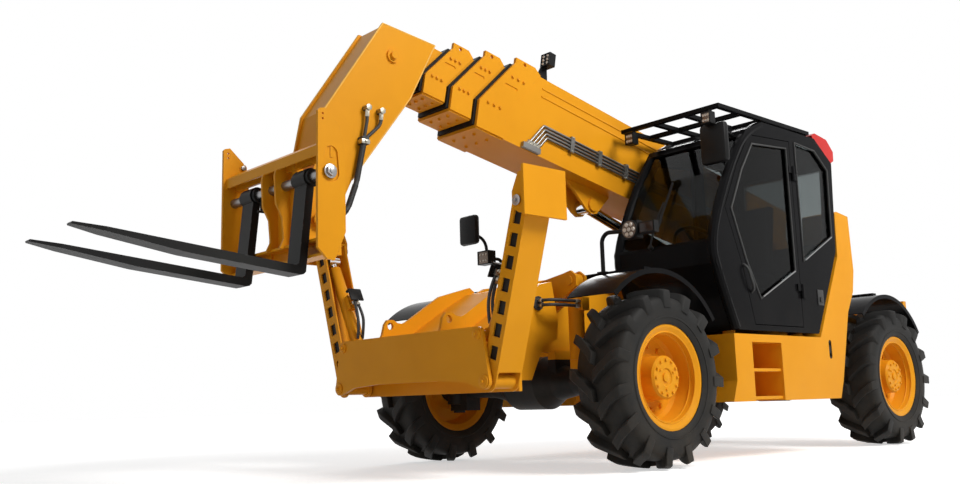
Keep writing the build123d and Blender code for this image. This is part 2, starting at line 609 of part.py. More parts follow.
def engine_base():
    """Right side tray with the fixed walls of the engine bay."""
    lower = [
        (BODY_FRONT_X, BODY_TOP_Z), (-2110, BODY_TOP_Z), (-2010, BODY_TURN_Z), (-1945, BODY_LOW_Z),
        (BODY_FRONT_X + 60, BODY_LOW_Z), (BODY_FRONT_X, BODY_TURN_Z),
    ]
    tray = plate_xz(lower, -BODY_HALF_WIDTH, -BODY_INNER_Y)
    hollow = plate_xz(inset(lower, BODY_WALL), BODY_WALL - BODY_HALF_WIDTH, -BODY_INNER_Y - BODY_WALL)
    opening = block(-2000, BODY_FRONT_X - 60, BODY_WALL - BODY_HALF_WIDTH, -BODY_INNER_Y - BODY_WALL,
                    BODY_TOP_Z - 60, BODY_TOP_Z + 1)
    tray = tray - hollow - opening
    wall = hood_section(HOOD_SHEET + RUN)
    bay = plate_yz(wall, BODY_FRONT_X - 62, BODY_FRONT_X - 32) + plate_yz(wall, -2080, -2050)
    inner = block(-2080, BODY_FRONT_X - 32, -BODY_INNER_Y - 30, -BODY_INNER_Y, BODY_TOP_Z, wall[0][1])
    link = block(-1900, -700, -BODY_INNER_Y, -FRAME_OUTER_Y, 560, 760)
    return tray + bay + inner + link


def hood_section(inside):
    """Outline of the engine hood in Y and Z, moved inwards by an amount."""
    side = BODY_HALF_WIDTH - 5 - inside
    top = HOOD_TOP_Z - inside
    return [
        (HOOD_HINGE_Y, top), (200 - BODY_HALF_WIDTH, top), (-side, HOOD_TOP_Z - 150 - inside),
        (-side, BODY_TOP_Z), (HOOD_HINGE_Y, BODY_TOP_Z),
    ]


def engine_hood():
    """Gull-wing hood: top and outer side in one bent shell."""
    front = BODY_FRONT_X - 20
    rear = -2095
    shell = plate_yz(hood_section(0), rear, front) - plate_yz(hood_section(HOOD_SHEET), rear - 1, front + 1)
    trim = block(rear - 1, front + 1, -BODY_HALF_WIDTH, 0, BODY_TOP_Z - 1, BODY_TOP_Z + DOOR_GAP)
    shell = shell - trim
    for index in range(LOUVRES):
        x = rear + 180 + index * LOUVRE_PITCH
        shell = shell - block(x, x + LOUVRE_WIDTH, -BODY_HALF_WIDTH, 60 - BODY_HALF_WIDTH,
                              BODY_TOP_Z + 90, HOOD_TOP_Z - 230)
    return shell


def engine_block():
    return block(-1500, -700, 120 - BODY_HALF_WIDTH, -420, BODY_LOW_Z + BODY_WALL, HOOD_TOP_Z - 170)


def tail():
    """Counterweight across the rear, with the tow hitch."""
    wide = [
        (-3680, TAIL_HALF_WIDTH), (TAIL_X + 60, TAIL_HALF_WIDTH), (TAIL_X, TAIL_HALF_WIDTH - 140),
        (TAIL_X, 140 - TAIL_HALF_WIDTH), (TAIL_X + 60, -TAIL_HALF_WIDTH), (-3680, -TAIL_HALF_WIDTH),
        (-3680, -470), (-3420, -470), (-3420, 470), (-3680, 470),
    ]
    weight = plate_xy(wide, 640, 1290)
    weight = weight - block(TAIL_X - 1, TAIL_X + 150, -110, 110, 639, 1030)
    jaw = block(TAIL_X + 10, TAIL_X + 151, -90, 90, 660, 700)
    jaw = jaw + block(TAIL_X + 10, TAIL_X + 151, -90, 90, 770, 810)
    jaw = jaw - Pos(TAIL_X + 60, 0, 735) * Cylinder(HITCH_PIN_R, 200)
    return weight + jaw


def drive_line():
    """Gearbox between the side plates and the two propeller shafts."""
    box = block(-1250, -800, -FRAME_HALF_GAP, FRAME_HALF_GAP, 620, 900)
    front = bar((-800, 0, 700), (FRONT_AXLE_X - DIFF_R - 20, 0, AXLE_Z), 45)
    rear = bar((-1250, 0, 700), (REAR_AXLE_X + DIFF_R + 20, 0, AXLE_Z), 45)
    return box + front + rear


# Boom

def stage_box(index):
    """Lower and upper t, half width and front s of one boom section."""
    low = BOOM_MID_T - STAGE_HEIGHTS[index] / 2
    high = BOOM_MID_T + STAGE_HEIGHTS[index] / 2
    front = OUTER_FRONT_S + STAGE_STEP * index
    return low, high, STAGE_HALF_WIDTHS[index], front


def stage(index):
    """Hollow boom section with a raked nose and a collar of thicker plates with ears."""
    low, high, half, front = stage_box(index)
    tail_s = STAGE_TAILS_S[index]
    wall = STAGE_WALLS[index]
    square = low + NOSE_SQUARE * (high - low)
    rake = NOSE_RAKE * (high - low) / STAGE_HEIGHTS[0]
    side = [(tail_s, low), (front, low), (front, square), (front - rake, high), (tail_s, high)]
    tube = plate_xz(side, -half, half)
    bore = plate_xz([(tail_s - 1, low + wall), (front + 1, low + wall), (front + 1, high - wall),
                     (tail_s - 1, high - wall)], wall - half, half - wall)
    reach = COLLAR_LENGTH if index == 0 else STAGE_STEP - PAD_PROUD - COLLAR_CLEAR
    cheek = [
        (front - reach, low), (front, low), (front, square), (front - rake, high),
        (front - rake, high + COLLAR_EAR), (front - rake - reach * 0.75, high + COLLAR_EAR),
        (front - rake - reach, high), (front - reach, square),
    ]
    ears = plate_xz(cheek, half - wall, half + COLLAR_PLATE)
    middle = (square + high) / 2
    slot_s = front - rake * 0.5 - reach * 0.5
    face = half + COLLAR_PLATE - COLLAR_RECESS
    for end in (-1, 1):
        ears = ears - bar_y(slot_s + end * reach * 0.2, middle, COLLAR_SLOT_R, face, half + 50)
    ears = ears - block(slot_s - reach * 0.2, slot_s + reach * 0.2, face, half + 50,
                        middle - COLLAR_SLOT_R, middle + COLLAR_SLOT_R)
    ears = ears - bar_y(front - rake - reach * 0.35, high + COLLAR_EAR * 0.45, COLLAR_HOLE_R, 0, half + 50)
    foot = plate_xz([(front - reach, low - COLLAR_PLATE), (front, low - COLLAR_PLATE), (front, low + 1),
                     (front - reach, low + 1)], -half, half)
    return tube - bore + pair(ears) + foot


def boom_outer():
    """Outer section with the pivot bosses and the lugs of the lift cylinder."""
    shell = stage(0)
    half = STAGE_HALF_WIDTHS[0]
    low = stage_box(0)[0]
    boss = bar_y(0, 0, PIVOT_PIN_R + 65, half - STAGE_WALLS[0], FRAME_HALF_GAP - RUN)
    pin = bar_y(0, 0, PIVOT_PIN_R, FRAME_HALF_GAP - 2, FRAME_OUTER_Y + 30)
    eye = BOOM.inverse() * Pos(LIFT_EYE_X, 0, LIFT_EYE_Z)
    s, t = eye.position.X, eye.position.Z
    lug = plate_xz([(s - 190, low), (s - 60, t - 55), (s, t - 75), (s + 60, t - 55), (s + 330, low)], 62, 87)
    lug = lug + bar_y(s, t, LIFT_PIN_R + 12, 87, 102)
    return BOOM * (shell + pair(boss + pin) + pair(lug))


def wear_pads(index):
    """Ring of slide pads in a section's nose, fitted to the section inside it."""
    low, high, half, front = stage_box(index)
    wall = STAGE_WALLS[index]
    square = low + NOSE_SQUARE * (high - low)
    rake = NOSE_RAKE * (high - low) / STAGE_HEIGHTS[0]
    inner_low, inner_high, inner_half, _ = stage_box(index + 1)
    band = [(front - 150, low), (front + PAD_PROUD, low), (front + PAD_PROUD, square),
            (front + PAD_PROUD - rake, high), (front - 150 - rake, high), (front - 150, square)]
    ring = plate_xz(band, wall - half, half - wall)
    far = front + 500
    bore_low = low + wall
    bore_high = high - wall
    ring = ring & plate_xz([(0, bore_low), (far, bore_low), (far, bore_high), (0, bore_high)], -half, half)
    inner_low = inner_low - RUN
    inner_high = inner_high + RUN
    return ring - plate_xz([(0, inner_low), (far, inner_low), (far, inner_high), (0, inner_high)],
                           -inner_half - RUN, inner_half + RUN)


def boom_pipes():
    """Steel pipes along the boom's left side that bend down to a block on its lower edge."""
    low, high, half, front = stage_box(0)
    y = half + PIPE_R + 6
    bend = front - COLLAR_LENGTH - PIPE_BEND
    first = low + PIPE_RISE
    pipes = None
    for index in range(PIPE_COUNT):
        t = first + index * PIPE_PITCH
        turn = bend + index * PIPE_PITCH * 0.52
        end = turn + (t - low - 24) * 0.71
        pipe = tube([(PIPE_START, y, t), (turn, y, t), (end, y, low + 24)], 3 * PIPE_R, PIPE_R)
        pipes = pipe if pipes is None else pipes + pipe
    last = first + (PIPE_COUNT - 1) * PIPE_PITCH
    for index in range(PIPE_CLAMPS):
        s = bend - 290 - index * PIPE_CLAMP_PITCH
        pipes = pipes + block(s, s + 40, half, y + PIPE_R + 4, first - 22, last + 22)
    foot_s = bend + (first - low) * 0.71
    foot = block(foot_s - 50, foot_s + 130, half, y + PIPE_R + 6, low + 4, low + 44)
    return BOOM * (pipes + foot)


def boom_lamp():
    """Work lamp on a bracket at the boom's upper left edge."""
    low, high, half, front = stage_box(0)
    s = front - 620
    sheet = half - 40
    outline = [(s - 60, high), (s + 60, high), (s + 20, high + 112), (s - 40, high + 112)]
    plate = plate_xz(outline, sheet, sheet + 10)
    foot = block(s - 60, s + 60, sheet - 40, sheet + 11, high, high + 8)
    head = block(s - 50, s + 10, half - 50, half + 45, high + 110, high + 215)
    return BOOM * (plate + foot + head)


def boom_inner():
    """Innermost section with the goose neck that hangs down to the tilt pin."""
    low, high, half, front = stage_box(3)
    wall = STAGE_WALLS[3]
    end = front - STAGE_STEP
    beam = plate_xz([(STAGE_TAILS_S[3], low), (end, low), (end, high), (STAGE_TAILS_S[3], high)], -half, half)
    shut = end - 60
    beam = beam - plate_xz([(0, low + wall), (shut, low + wall), (shut, high - wall), (0, high - wall)],
                           wall - half, half - wall)
    neck = [
        (1313, 2904), (1768, 2956), (2222, 2283), (2300, 1900), (TILT_X + 95, TILT_Z + 40),
        (TILT_X + 80, TILT_Z - 70), (TILT_X - 20, TILT_Z - 100), (TILT_X - 100, TILT_Z - 50),
        (2022, 1852), (1543, 2478),
    ]
    cheeks = pair(plate_xz(neck, NECK_HALF_WIDTH - NECK_WALL, NECK_HALF_WIDTH))
    core = plate_xz(inset(neck, NECK_LIP), 1 - NECK_HALF_WIDTH, NECK_HALF_WIDTH - 1)
    inside = NECK_HALF_WIDTH - NECK_WALL
    hollow = plate_xz(inset(neck, NECK_LIP + NECK_WALL), -inside, inside)
    mouth = plate_xz([(TILT_X - 150, TILT_Z - 160), (TILT_X + 150, TILT_Z - 160), (TILT_X + 60, TILT_Z + 30),
                      (TILT_X - 60, TILT_Z + 30)], -inside, inside)
    shell = cheeks + core - hollow - mouth + BOOM * beam
    boss = bar_y(NECK_BOSS_X, NECK_BOSS_Z, 46, NECK_HALF_WIDTH - 1, NECK_HALF_WIDTH + 14)
    boss = boss + bar_y(NECK_BOSS_X, NECK_BOSS_Z, 26, NECK_HALF_WIDTH, NECK_HALF_WIDTH + 34)
    shell = shell + pair(boss)
    return shell + bar_y(TILT_X, TILT_Z, TILT_PIN_R, -NECK_HALF_WIDTH - 62, NECK_HALF_WIDTH + 62)


def neck_hoses():
    """Two hoses from the neck's left face that meet in a guarded hose down to the tilt pin."""
    face = NECK_HALF_WIDTH + RUN
    y = face + 30
    meet_x, meet_z = NECK_CLAMP
    end_x, end_z = TILT_X - 150, TILT_Z + 30
    guard = [(meet_x, y, meet_z), (2010, y, 1830), (2075, y, 1660), (end_x, y, end_z)]
    hoses = tube(guard, 100, GUARD_HOSE_R)
    hoses = hoses + block(meet_x - 25, meet_x + 25, face, face + 52, meet_z - 20, meet_z + 30)
    hoses = hoses + block(end_x - 25, end_x + 20, face, face + 52, end_z - 25, end_z + 25)
    for x, z in NECK_PORTS:
        line = [(x, y, z), (x + 6, y, z - 90), (meet_x, y, meet_z + 10)]
        hoses = hoses + tube(line, 90, HOSE_R) + bar_y(x, z, 20, face, face + 46)
    return hoses


# Carriage and forks

def carriage():
    """Fork carriage: side plates, beams, ribs and the ears on the tilt pin, laid out from the fork shaft."""
    half = CARRIAGE_HALF_WIDTH
    place = Pos(FORK_SHAFT_X, 0, FORK_SHAFT_Z)
    side = plate_xz([
        (81, -440), (81, 345), (70, 357), (37, 366), (-63, 277), (-101, 137), (-105, -339),
        (-30, -508), (17, -501),
    ], half - CARRIAGE_SIDE, half)
    bore = bar_y(0, 0, FORK_SHAFT_R + RUN, -half, half)
    slot = bar_y(0, 0, 62, half - 9, half + 1) + bar_y(-8, 105, 44, half - 9, half + 1)
    slot = slot + plate_xz([(-62, 0), (62, 0), (36, 105), (-52, 105)], half - 9, half + 1)
    for z in (300, 330):
        slot = slot + bar_y(48, z, 7, half - 30, half + 1)
    body = pair(side - slot)
    body = body + right_of(bar_y(-58, 245, 26, half - 24, half + 12))
    top = [(-25, 82), (-25, 190), (5, 190), (62, 152), (62, 92), (50, 92), (50, 142), (-5, 175), (-5, 82)]
    body = body + plate_xz(top, 5 - half, half - 5)
    ledge = [(-78, -473), (-78, -363), (5, -363), (5, -378), (-58, -378), (-58, -458), (18, -458), (18, -473)]
    body = body + plate_xz(ledge, 5 - half, half - 5)
    for y in (half - 75, 205):
        body = body + pair(bar_y(-52, 168, 34, y - 28, y + 28))
    tilt_x = TILT_X - FORK_SHAFT_X
    tilt_z = TILT_Z - FORK_SHAFT_Z
    ear = [
        (tilt_x - 70, tilt_z - 40), (tilt_x - 40, tilt_z + 75), (tilt_x + 60, tilt_z + 90), (-40, 180),
        (-15, 180), (0, 110), (-48, -63), (-43, -463), (-73, -463), (tilt_x + 10, tilt_z - 80),
    ]
    web = plate_xz(ear, NECK_HALF_WIDTH + 6, NECK_HALF_WIDTH + 36)
    body = body + pair(web - bar_y(tilt_x, tilt_z, TILT_PIN_R + RUN, 0, half))
    rib = [
        (-24, 170), (45, 160), (72, 60), (62, -110), (20, -187), (8, -320), (36, -378), (-24, -380),
        (-58, -378), (-58, -200), (-40, 60),
    ]
    body = body + pair(plate_xz(rib, RIB_Y - 9, RIB_Y + 9))
    back = [(-43, 120), (-30, 120), (-45, -378), (-58, -378)]
    body = body + plate_xz(back, -RIB_Y - 60, RIB_Y + 60)
    return place * (body - bore)


def fork_shaft():
    half = CARRIAGE_HALF_WIDTH + 14
    return bar_y(FORK_SHAFT_X, FORK_SHAFT_Z, FORK_SHAFT_R, -half, half)


def fork():
    """Left fork: eye on the shaft, shank and tapered blade in one forging."""
    tilt = math.radians(FORK_TILT)
    along = (math.cos(tilt), math.sin(tilt))
    up = (-math.sin(tilt), math.cos(tilt))

    def at(forward, height):
        return (FORK_HEEL_X + forward * along[0] + height * up[0],
                FORK_HEEL_Z + forward * along[1] + height * up[1])

    reach = (FORK_TIP_X - FORK_HEEL_X + (FORK_THICK - FORK_TIP_THICK / 2) * along[1]) / along[0]
    outline = [
        at(0, 22), at(14, 6), at(34, 0), at(reach * 0.55, 0), at(reach - 4, FORK_THICK - FORK_TIP_THICK),
        at(reach, FORK_THICK - FORK_TIP_THICK / 2), at(reach - 6, FORK_THICK),
        at(FORK_THICK + 16, FORK_THICK), at(FORK_THICK, FORK_THICK + 16),
        at(FORK_THICK, FORK_SHANK), at(0, FORK_SHANK),
    ]
    half = FORK_WIDTH / 2
    blade = plate_xz(outline, FORK_SPREAD_Y - half, FORK_SPREAD_Y + half)
    start_x = FORK_TIP_X - 160
    end_x = FORK_TIP_X + 10
    side_y = FORK_SPREAD_Y + half
    corner = [(start_x, side_y), (end_x, FORK_SPREAD_Y + 26), (end_x, side_y + 10), (start_x, side_y + 10)]
    tip = plate_xy(corner, 0, FORK_SHAFT_Z)
    other = mirror(tip, about=Plane.XZ.offset(-FORK_SPREAD_Y))
    eye = bar_y(FORK_SHAFT_X, FORK_SHAFT_Z, FORK_SHAFT_R + 26, FORK_SPREAD_Y - half, FORK_SPREAD_Y + half)
    hole = bar_y(FORK_SHAFT_X, FORK_SHAFT_Z, FORK_SHAFT_R + RUN, 0, CARRIAGE_HALF_WIDTH)
    return blade - tip - other + eye - hole


# Cylinders

def barrel(radius, bore_r, rod_r, length, eye_r, eye_half, pin_r):
    """Cylinder barrel along +X from its eye, open at the gland for the rod."""
    tube = bar((eye_r * 0.7, 0, 0), (length, 0, 0), radius)
    tube = tube - bar((eye_r + 30, 0, 0), (length - 60, 0, 0), bore_r)
    tube = tube - bar((length - 61, 0, 0), (length + 1, 0, 0), rod_r + RUN)
    eye = bar_y(0, 0, eye_r, -eye_half, eye_half)
    tube = tube + eye
    return tube - bar_y(0, 0, pin_r + RUN, -eye_half - 1, eye_half + 1) if pin_r else tube


def piston_rod(rod_r, start, length, eye_r, eye_half):
    """Piston rod along +X that ends in an eye."""
    rod = bar((start, 0, 0), (length - eye_r * 0.6, 0, 0), rod_r)
    return rod + bar_y(length, 0, eye_r, -eye_half, eye_half)


def lift_barrel():
    half = LIFT_BARREL_R + 5 - RUN
    bore_r = LIFT_BARREL_R - 20
    return LIFT * barrel(LIFT_BARREL_R, bore_r, LIFT_ROD_R, LIFT_BARREL_LENGTH, LIFT_EYE_R, half, 0)


def lift_rod():
    return LIFT * piston_rod(LIFT_ROD_R, 800, LIFT_LENGTH, LIFT_EYE_R, 55)


def leg_barrel():
    """Stabiliser cylinder's barrel with the hose valve on its open side."""
    shape = barrel(RAM_BARREL_R, RAM_BARREL_R - 10, RAM_ROD_R, RAM_LENGTH - 70, 44, 50, RAM_PIN_R)
    start = RAM_LENGTH * 0.4
    shape = shape + block(start, start + 105, -26, 26, RAM_BARREL_R - 8, RAM_BARREL_R + 28)
    for x in (start + 26, start + 78):
        shape = shape + bar((x, 0, RAM_BARREL_R + 27), (x, 0, RAM_BARREL_R + 50), 13)
    return RAM * shape


def leg_rod():
    return RAM * piston_rod(RAM_ROD_R, 130, RAM_LENGTH, 40, 45)


# Stabilisers

def leg():
    """Left leg: a channel open to the inside, with square holes in its front plate."""
    half = LEG_WIDTH / 2
    depth = LEG_DEPTH / 2

    def cheek(x_low, x_high):
        sheet = block(x_low, x_high, -half, half, 0, LEG_LENGTH)
        return sheet + bar_x(0, 0, half, x_low, x_high)

    front = cheek(depth - LEG_PLATE, depth)
    for index in range(LEG_HOLES):
        z = 175 + index * LEG_HOLE_PITCH
        front = front - block(depth - LEG_PLATE - 1, depth + 1, -32, 32, z - 41, z + 41)
    rear = cheek(-depth, LEG_PLATE - depth)
    web = block(-depth, depth, half - LEG_PLATE, half, 70, LEG_LENGTH)
    cap = block(-depth, depth, -half, half, LEG_LENGTH - LEG_PLATE, LEG_LENGTH)
    sleeve = bar_x(0, 0, LEG_PIN_R + 14, -depth, depth)
    bore = bar_x(0, 0, LEG_PIN_R + RUN, -depth - 1, depth + 1)
    pin = bar_x(0, PAD_PIN, 22, depth, depth + 30) + bar_x(0, PAD_PIN, 22, -depth - 30, -depth)
    return LEG * (front + rear + web + cap + sleeve - bore + pin)


def pad():
    """Left foot: a flat sole with two cheeks on the leg's end pin."""
    seat = LEG * Pos(0, 0, PAD_PIN)
    y, z = seat.position.Y, seat.position.Z
    half = PAD_LENGTH / 2
    low = z - 105
    face = y + PAD_REACH
    sole = block(LEG_MID_X - half, LEG_MID_X + half, face - PAD_SHEET, face, low, low + PAD_HEIGHT)
    outline = [
        (face - PAD_SHEET, low + 15), (face - PAD_SHEET, low + PAD_HEIGHT - 15),
        (y + 10, low + PAD_HEIGHT - 25), (y - 45, z + 60), (y - 45, z - 40), (y + 10, low + 30),
    ]
    inner = LEG_DEPTH / 2 + 6
    foot = sole
    for side in (1, -1):
        ends = sorted((LEG_MID_X + side * inner, LEG_MID_X + side * (inner + 16)))
        foot = foot + plate_yz(outline, *ends)
    return foot - bar_x(y, z, 22 + RUN, LEG_MID_X - half, LEG_MID_X + half)


# Cab

def along_screen(out, into, y_low, y_high):
    """Sheet that follows the windscreen's curve, between two depths from the cab's face."""
    slope = math.radians(31)
    normal = (math.cos(slope), math.sin(slope))
    face = [(x + out * normal[0], z + out * normal[1]) for x, z in SCREEN]
    back = [(x - into * normal[0], z - into * normal[1]) for x, z in reversed(SCREEN)]
    return plate_xz(face + back, y_low, y_high)


def rear_pane(x_low, x_high, fit):
    return block(x_low, x_high, CAB_INNER_Y + 90 + fit, CAB_OUTER_Y - 90 - fit,
                 REAR_LOW_Z + fit, REAR_HIGH_Z - fit)


def cab_frame():
    """Hollow cab with its window and door openings cut."""
    shell = plate_xz(CAB_SIDE, CAB_INNER_Y, CAB_OUTER_Y)
    shell = shell - plate_xz(inset(CAB_SIDE, CAB_WALL), CAB_INNER_Y + CAB_WALL, CAB_OUTER_Y - CAB_WALL)
    shell = shell - along_screen(30, 80, CAB_INNER_Y + 55, CAB_OUTER_Y - 55)
    shell = shell - plate_xz(DOOR_SIDE, CAB_OUTER_Y - CAB_WALL - 1, CAB_OUTER_Y + 1)
    shell = shell - plate_xz(QUARTER, CAB_OUTER_Y - CAB_WALL - 1, CAB_OUTER_Y + 1)
    for window in (QUARTER, RIGHT_WINDOW):
        shell = shell - plate_xz(window, CAB_INNER_Y - 1, CAB_INNER_Y + CAB_WALL + 1)
    for z in HINGE_LEVELS:
        shell = shell + hinge(z, -1)
    return shell - rear_pane(-2200, -2000, 0)


def cab_glass():
    """Windscreen, right, rear and quarter panes, each in its own opening."""
    screen = along_screen(-14, 14 + GLASS, CAB_INNER_Y + 55 + GLASS_FIT, CAB_OUTER_Y - 55 - GLASS_FIT)
    left_y = CAB_OUTER_Y - CAB_WALL / 2
    right_y = CAB_INNER_Y + CAB_WALL / 2
    panes = [screen, plate_xz(inset(QUARTER, GLASS_FIT), left_y, left_y + GLASS)]
    for window in (QUARTER, RIGHT_WINDOW):
        panes.append(plate_xz(inset(window, GLASS_FIT), right_y, right_y + GLASS))
    panes.append(rear_pane(-2080, -2080 + GLASS, GLASS_FIT))
    return panes


def hinge(z, toward):
    """One half of a door hinge: a knuckle on the axis and its leaf on the cab's face."""
    knuckle_bar = bar((DOOR_AXIS_X, DOOR_AXIS_Y, z), (DOOR_AXIS_X, DOOR_AXIS_Y, z + HINGE_HEIGHT), 13)
    ends = sorted((DOOR_AXIS_X, DOOR_AXIS_X + toward * 60))
    return knuckle_bar + block(*ends, CAB_OUTER_Y, DOOR_AXIS_Y, z, z + HINGE_HEIGHT)


def door_frame():
    """Left door, hinged at its rear edge."""
    leaf = plate_xz(inset(DOOR_SIDE, DOOR_GAP), CAB_OUTER_Y - CAB_WALL, CAB_OUTER_Y)
    leaf = leaf - plate_xz(DOOR_WINDOW, CAB_OUTER_Y - CAB_WALL - 1, CAB_OUTER_Y + 1)
    for z in HINGE_LEVELS:
        leaf = leaf + hinge(z + HINGE_HEIGHT + RUN, 1)
    return leaf


def door_glass():
    y = CAB_OUTER_Y - CAB_WALL / 2
    return plate_xz(inset(DOOR_WINDOW, GLASS_FIT), y, y + GLASS)


def roof_guard():
    """Bar grid over the cab roof."""
    top = GUARD_BOTTOM_Z + 30
    left, right = CAB_OUTER_Y, CAB_INNER_Y - 5
    guard = None
    for index in range(GUARD_RUNGS):
        x = GUARD_REAR_X + (GUARD_FRONT_X - GUARD_REAR_X - GUARD_BAR) * index / (GUARD_RUNGS - 1)
        rung = block(x, x + GUARD_BAR, right, left, GUARD_BOTTOM_Z, top)
        guard = rung if guard is None else guard + rung
    for index in range(GUARD_RAILS):
        y = right + (left - right - GUARD_BAR) * index / (GUARD_RAILS - 1)
        guard = guard + block(GUARD_REAR_X, GUARD_FRONT_X, y, y + GUARD_BAR, GUARD_BOTTOM_Z, top)
    for x in (-1150, -1750):
        for y in (right + 20, left - 20 - GUARD_BAR):
            guard = guard + block(x, x + GUARD_BAR, y, y + GUARD_BAR, CAB_ROOF_Z, GUARD_BOTTOM_Z)
    return guard


def roof_cap():
    """Red cap on the rear slope of the cab roof."""
    outline = [
        (-1863, CAB_ROOF_Z), (-1850, 2560), (-1900, 2585), (-2090, 2560), (-2190, 2470), (-2185, 2390),
        (-2122, 2356),
    ]
    return plate_xz(outline, CAB_INNER_Y + 20, CAB_OUTER_Y - 10)


def seat():
    """Driver's seat on its pedestal."""
    y = (CAB_INNER_Y + CAB_OUTER_Y) / 2
    floor = CAB_FLOOR_Z + CAB_WALL
    base = block(-1480, -1120, y - 170, y + 170, floor, floor + 330)
    cushion = block(-1520, -1030, y - 250, y + 250, floor + 330, floor + 450)
    low = floor + 450
    high = floor + 1050
    rest = plate_xz([(-1520, low), (-1400, low), (-1480, high), (-1570, high)], y - 240, y + 240)
    return base + cushion + rest


def console():
    """Dashboard, steering column and wheel."""
    y = (CAB_INNER_Y + CAB_OUTER_Y) / 2
    floor = CAB_FLOOR_Z + CAB_WALL
    outline = [(-640, floor), (-480, 1290), (-480, 1430), (-640, 1480), (-780, floor)]
    dash = plate_xz(outline, y - 260, y + 260)
    column = bar((-600, y, 1430), (-760, y, 1590), 30)
    wheel = Plane(origin=(-765, y, 1595), z_dir=(-1, 0, 1)) * Torus(180, 15)
    spokes = Plane(origin=(-765, y, 1595), z_dir=(-1, 0, 1)) * (Box(360, 40, 16) + Box(40, 360, 16))
    return dash + column + wheel + spokes


def lamps():
    """Work lamps on bent tubes at the front fender and the engine bay, and two under the roof guard."""
    x = FRONT_AXLE_X - 30
    foot_z = AXLE_Z + FENDER_R + FENDER_SHEET + FENDER_BRACKET + RUN
    lamp_z = foot_z + 265
    hoop = [(x, LAMP_LEFT_Y, foot_z), (x, LAMP_LEFT_Y, lamp_z + 20), (x, LAMP_LEFT_Y + 260, lamp_z)]
    left = tube(hoop, 70, LAMP_POST_R)
    left = left + block(x - 30, x + 30, LAMP_LEFT_Y - 32, LAMP_LEFT_Y + 32, foot_z, foot_z + 10)
    left = left + block(x - 30, x + 30, LAMP_LEFT_Y + 220, LAMP_LEFT_Y + 340, lamp_z - 60, lamp_z + 60)
    left = left + block(x - 25, x + 25, LAMP_LEFT_Y + 350, LAMP_LEFT_Y + 480, lamp_z - 40, lamp_z + 40)
    left = left + bar((x, LAMP_LEFT_Y + 330, lamp_z), (x, LAMP_LEFT_Y + 360, lamp_z), LAMP_POST_R)
    wall = BODY_FRONT_X - 32 + RUN
    post_x = BODY_FRONT_X + 48
    y = LAMP_RIGHT_Y
    post = [(wall, y, 1060), (post_x, y, 1060), (post_x, y, LAMP_RIGHT_Z), (post_x + 160, y, LAMP_RIGHT_Z)]
    right = tube(post, 50, LAMP_POST_R) + block(wall, wall + 10, y - 40, y + 40, 1020, 1100)
    right = right + block(post_x + 140, post_x + 220, y - 70, y + 70, LAMP_RIGHT_Z - 60, LAMP_RIGHT_Z + 60)
    shapes = [left, right]
    for y in GUARD_LAMPS_Y:
        front = GUARD_FRONT_X - 10
        lamp = block(front, front + 60, y - 40, y + 40, GUARD_BOTTOM_Z - 120, GUARD_BOTTOM_Z - 30)
        hanger = block(front - 8, front + 8, y - 10, y + 10, GUARD_BOTTOM_Z - 40, GUARD_BOTTOM_Z - RUN)
        shapes.append(lamp + hanger)
    return shapes


def mirrors():
    """Rear-view mirrors: one on the cab, one on the engine side."""
    arm_y = CAB_OUTER_Y - 100
    arm_z = CAB_ROOF_Z - 130
    left = block(-560, -510, arm_y - 90, arm_y + 136, arm_z - 260, arm_z + 40)
    left = left + bar((-530, arm_y, arm_z), (-850, arm_y, arm_z), 14)
    left = left - plate_xz(CAB_SIDE, CAB_INNER_Y, CAB_OUTER_Y)
    x = BODY_FRONT_X + 228
    y, z = LAMP_RIGHT_Y, LAMP_RIGHT_Z + 60 + RUN
    right = block(-110, -60, y - 125, y + 90, z + 40, z + 300) + bar((x, y, z), (x, y, z + 140), 14)
    right = right + bar((x - 10, y, z + 130), (-90, y, z + 130), 14)
    return [left, right]


os.makedirs("parts", exist_ok=True)

save("main_frame", main_frame())
save("front_beam", front_beam())
save("sway_cylinder", sway_cylinder())
save("beam_hoses", beam_hoses())
save("side_box", side_box())
save("engine_base", engine_base())
save("engine_hood", engine_hood())
save("engine_block", engine_block())
save("tail_weight", tail())
save("drive_line", drive_line())
save("front_axle", axle(FRONT_AXLE_X))
save("rear_axle", axle(REAR_AXLE_X))
left_fenders = [fender(FRONT_AXLE_X), fender(REAR_AXLE_X)]
save("fenders", *left_fenders, *[right_of(f) for f in left_fenders])

tyre_shape = tyre()
rim_shape = rim()
for end, axle_x in (("front", FRONT_AXLE_X), ("rear", REAR_AXLE_X)):
    hub = Pos(axle_x, WHEEL_Y, AXLE_Z)
    for side in ("left", "right"):
        flip = right_of if side == "right" else (lambda shape: shape)
        save(f"tyre_{end}_{side}", flip(hub * tyre_shape))
        save(f"rim_{end}_{side}", flip(hub * rim_shape))
        save(f"knuckle_{end}_{side}", flip(knuckle(axle_x)))

save("boom_outer", boom_outer())
save("boom_pipes", boom_pipes())
save("boom_lamp", boom_lamp())
save("boom_mid_a", BOOM * stage(1))
for index, name in enumerate(("outer", "mid_a", "mid_b")):
    save(f"wear_pads_{name}", BOOM * wear_pads(index))
save("boom_mid_b", BOOM * stage(2))
save("boom_inner", boom_inner())
save("neck_hoses", neck_hoses())
save("carriage", carriage())
save("fork_shaft", fork_shaft())
save("fork_left", fork())
save("fork_right", right_of(fork()))
save("lift_barrel", lift_barrel())
save("lift_rod", lift_rod())

for side in ("left", "right"):
    flip = right_of if side == "right" else (lambda shape: shape)
    save(f"leg_{side}", flip(leg()))
    save(f"leg_barrel_{side}", flip(leg_barrel()))
    save(f"leg_rod_{side}", flip(leg_rod()))
    save(f"pad_{side}", flip(pad()))

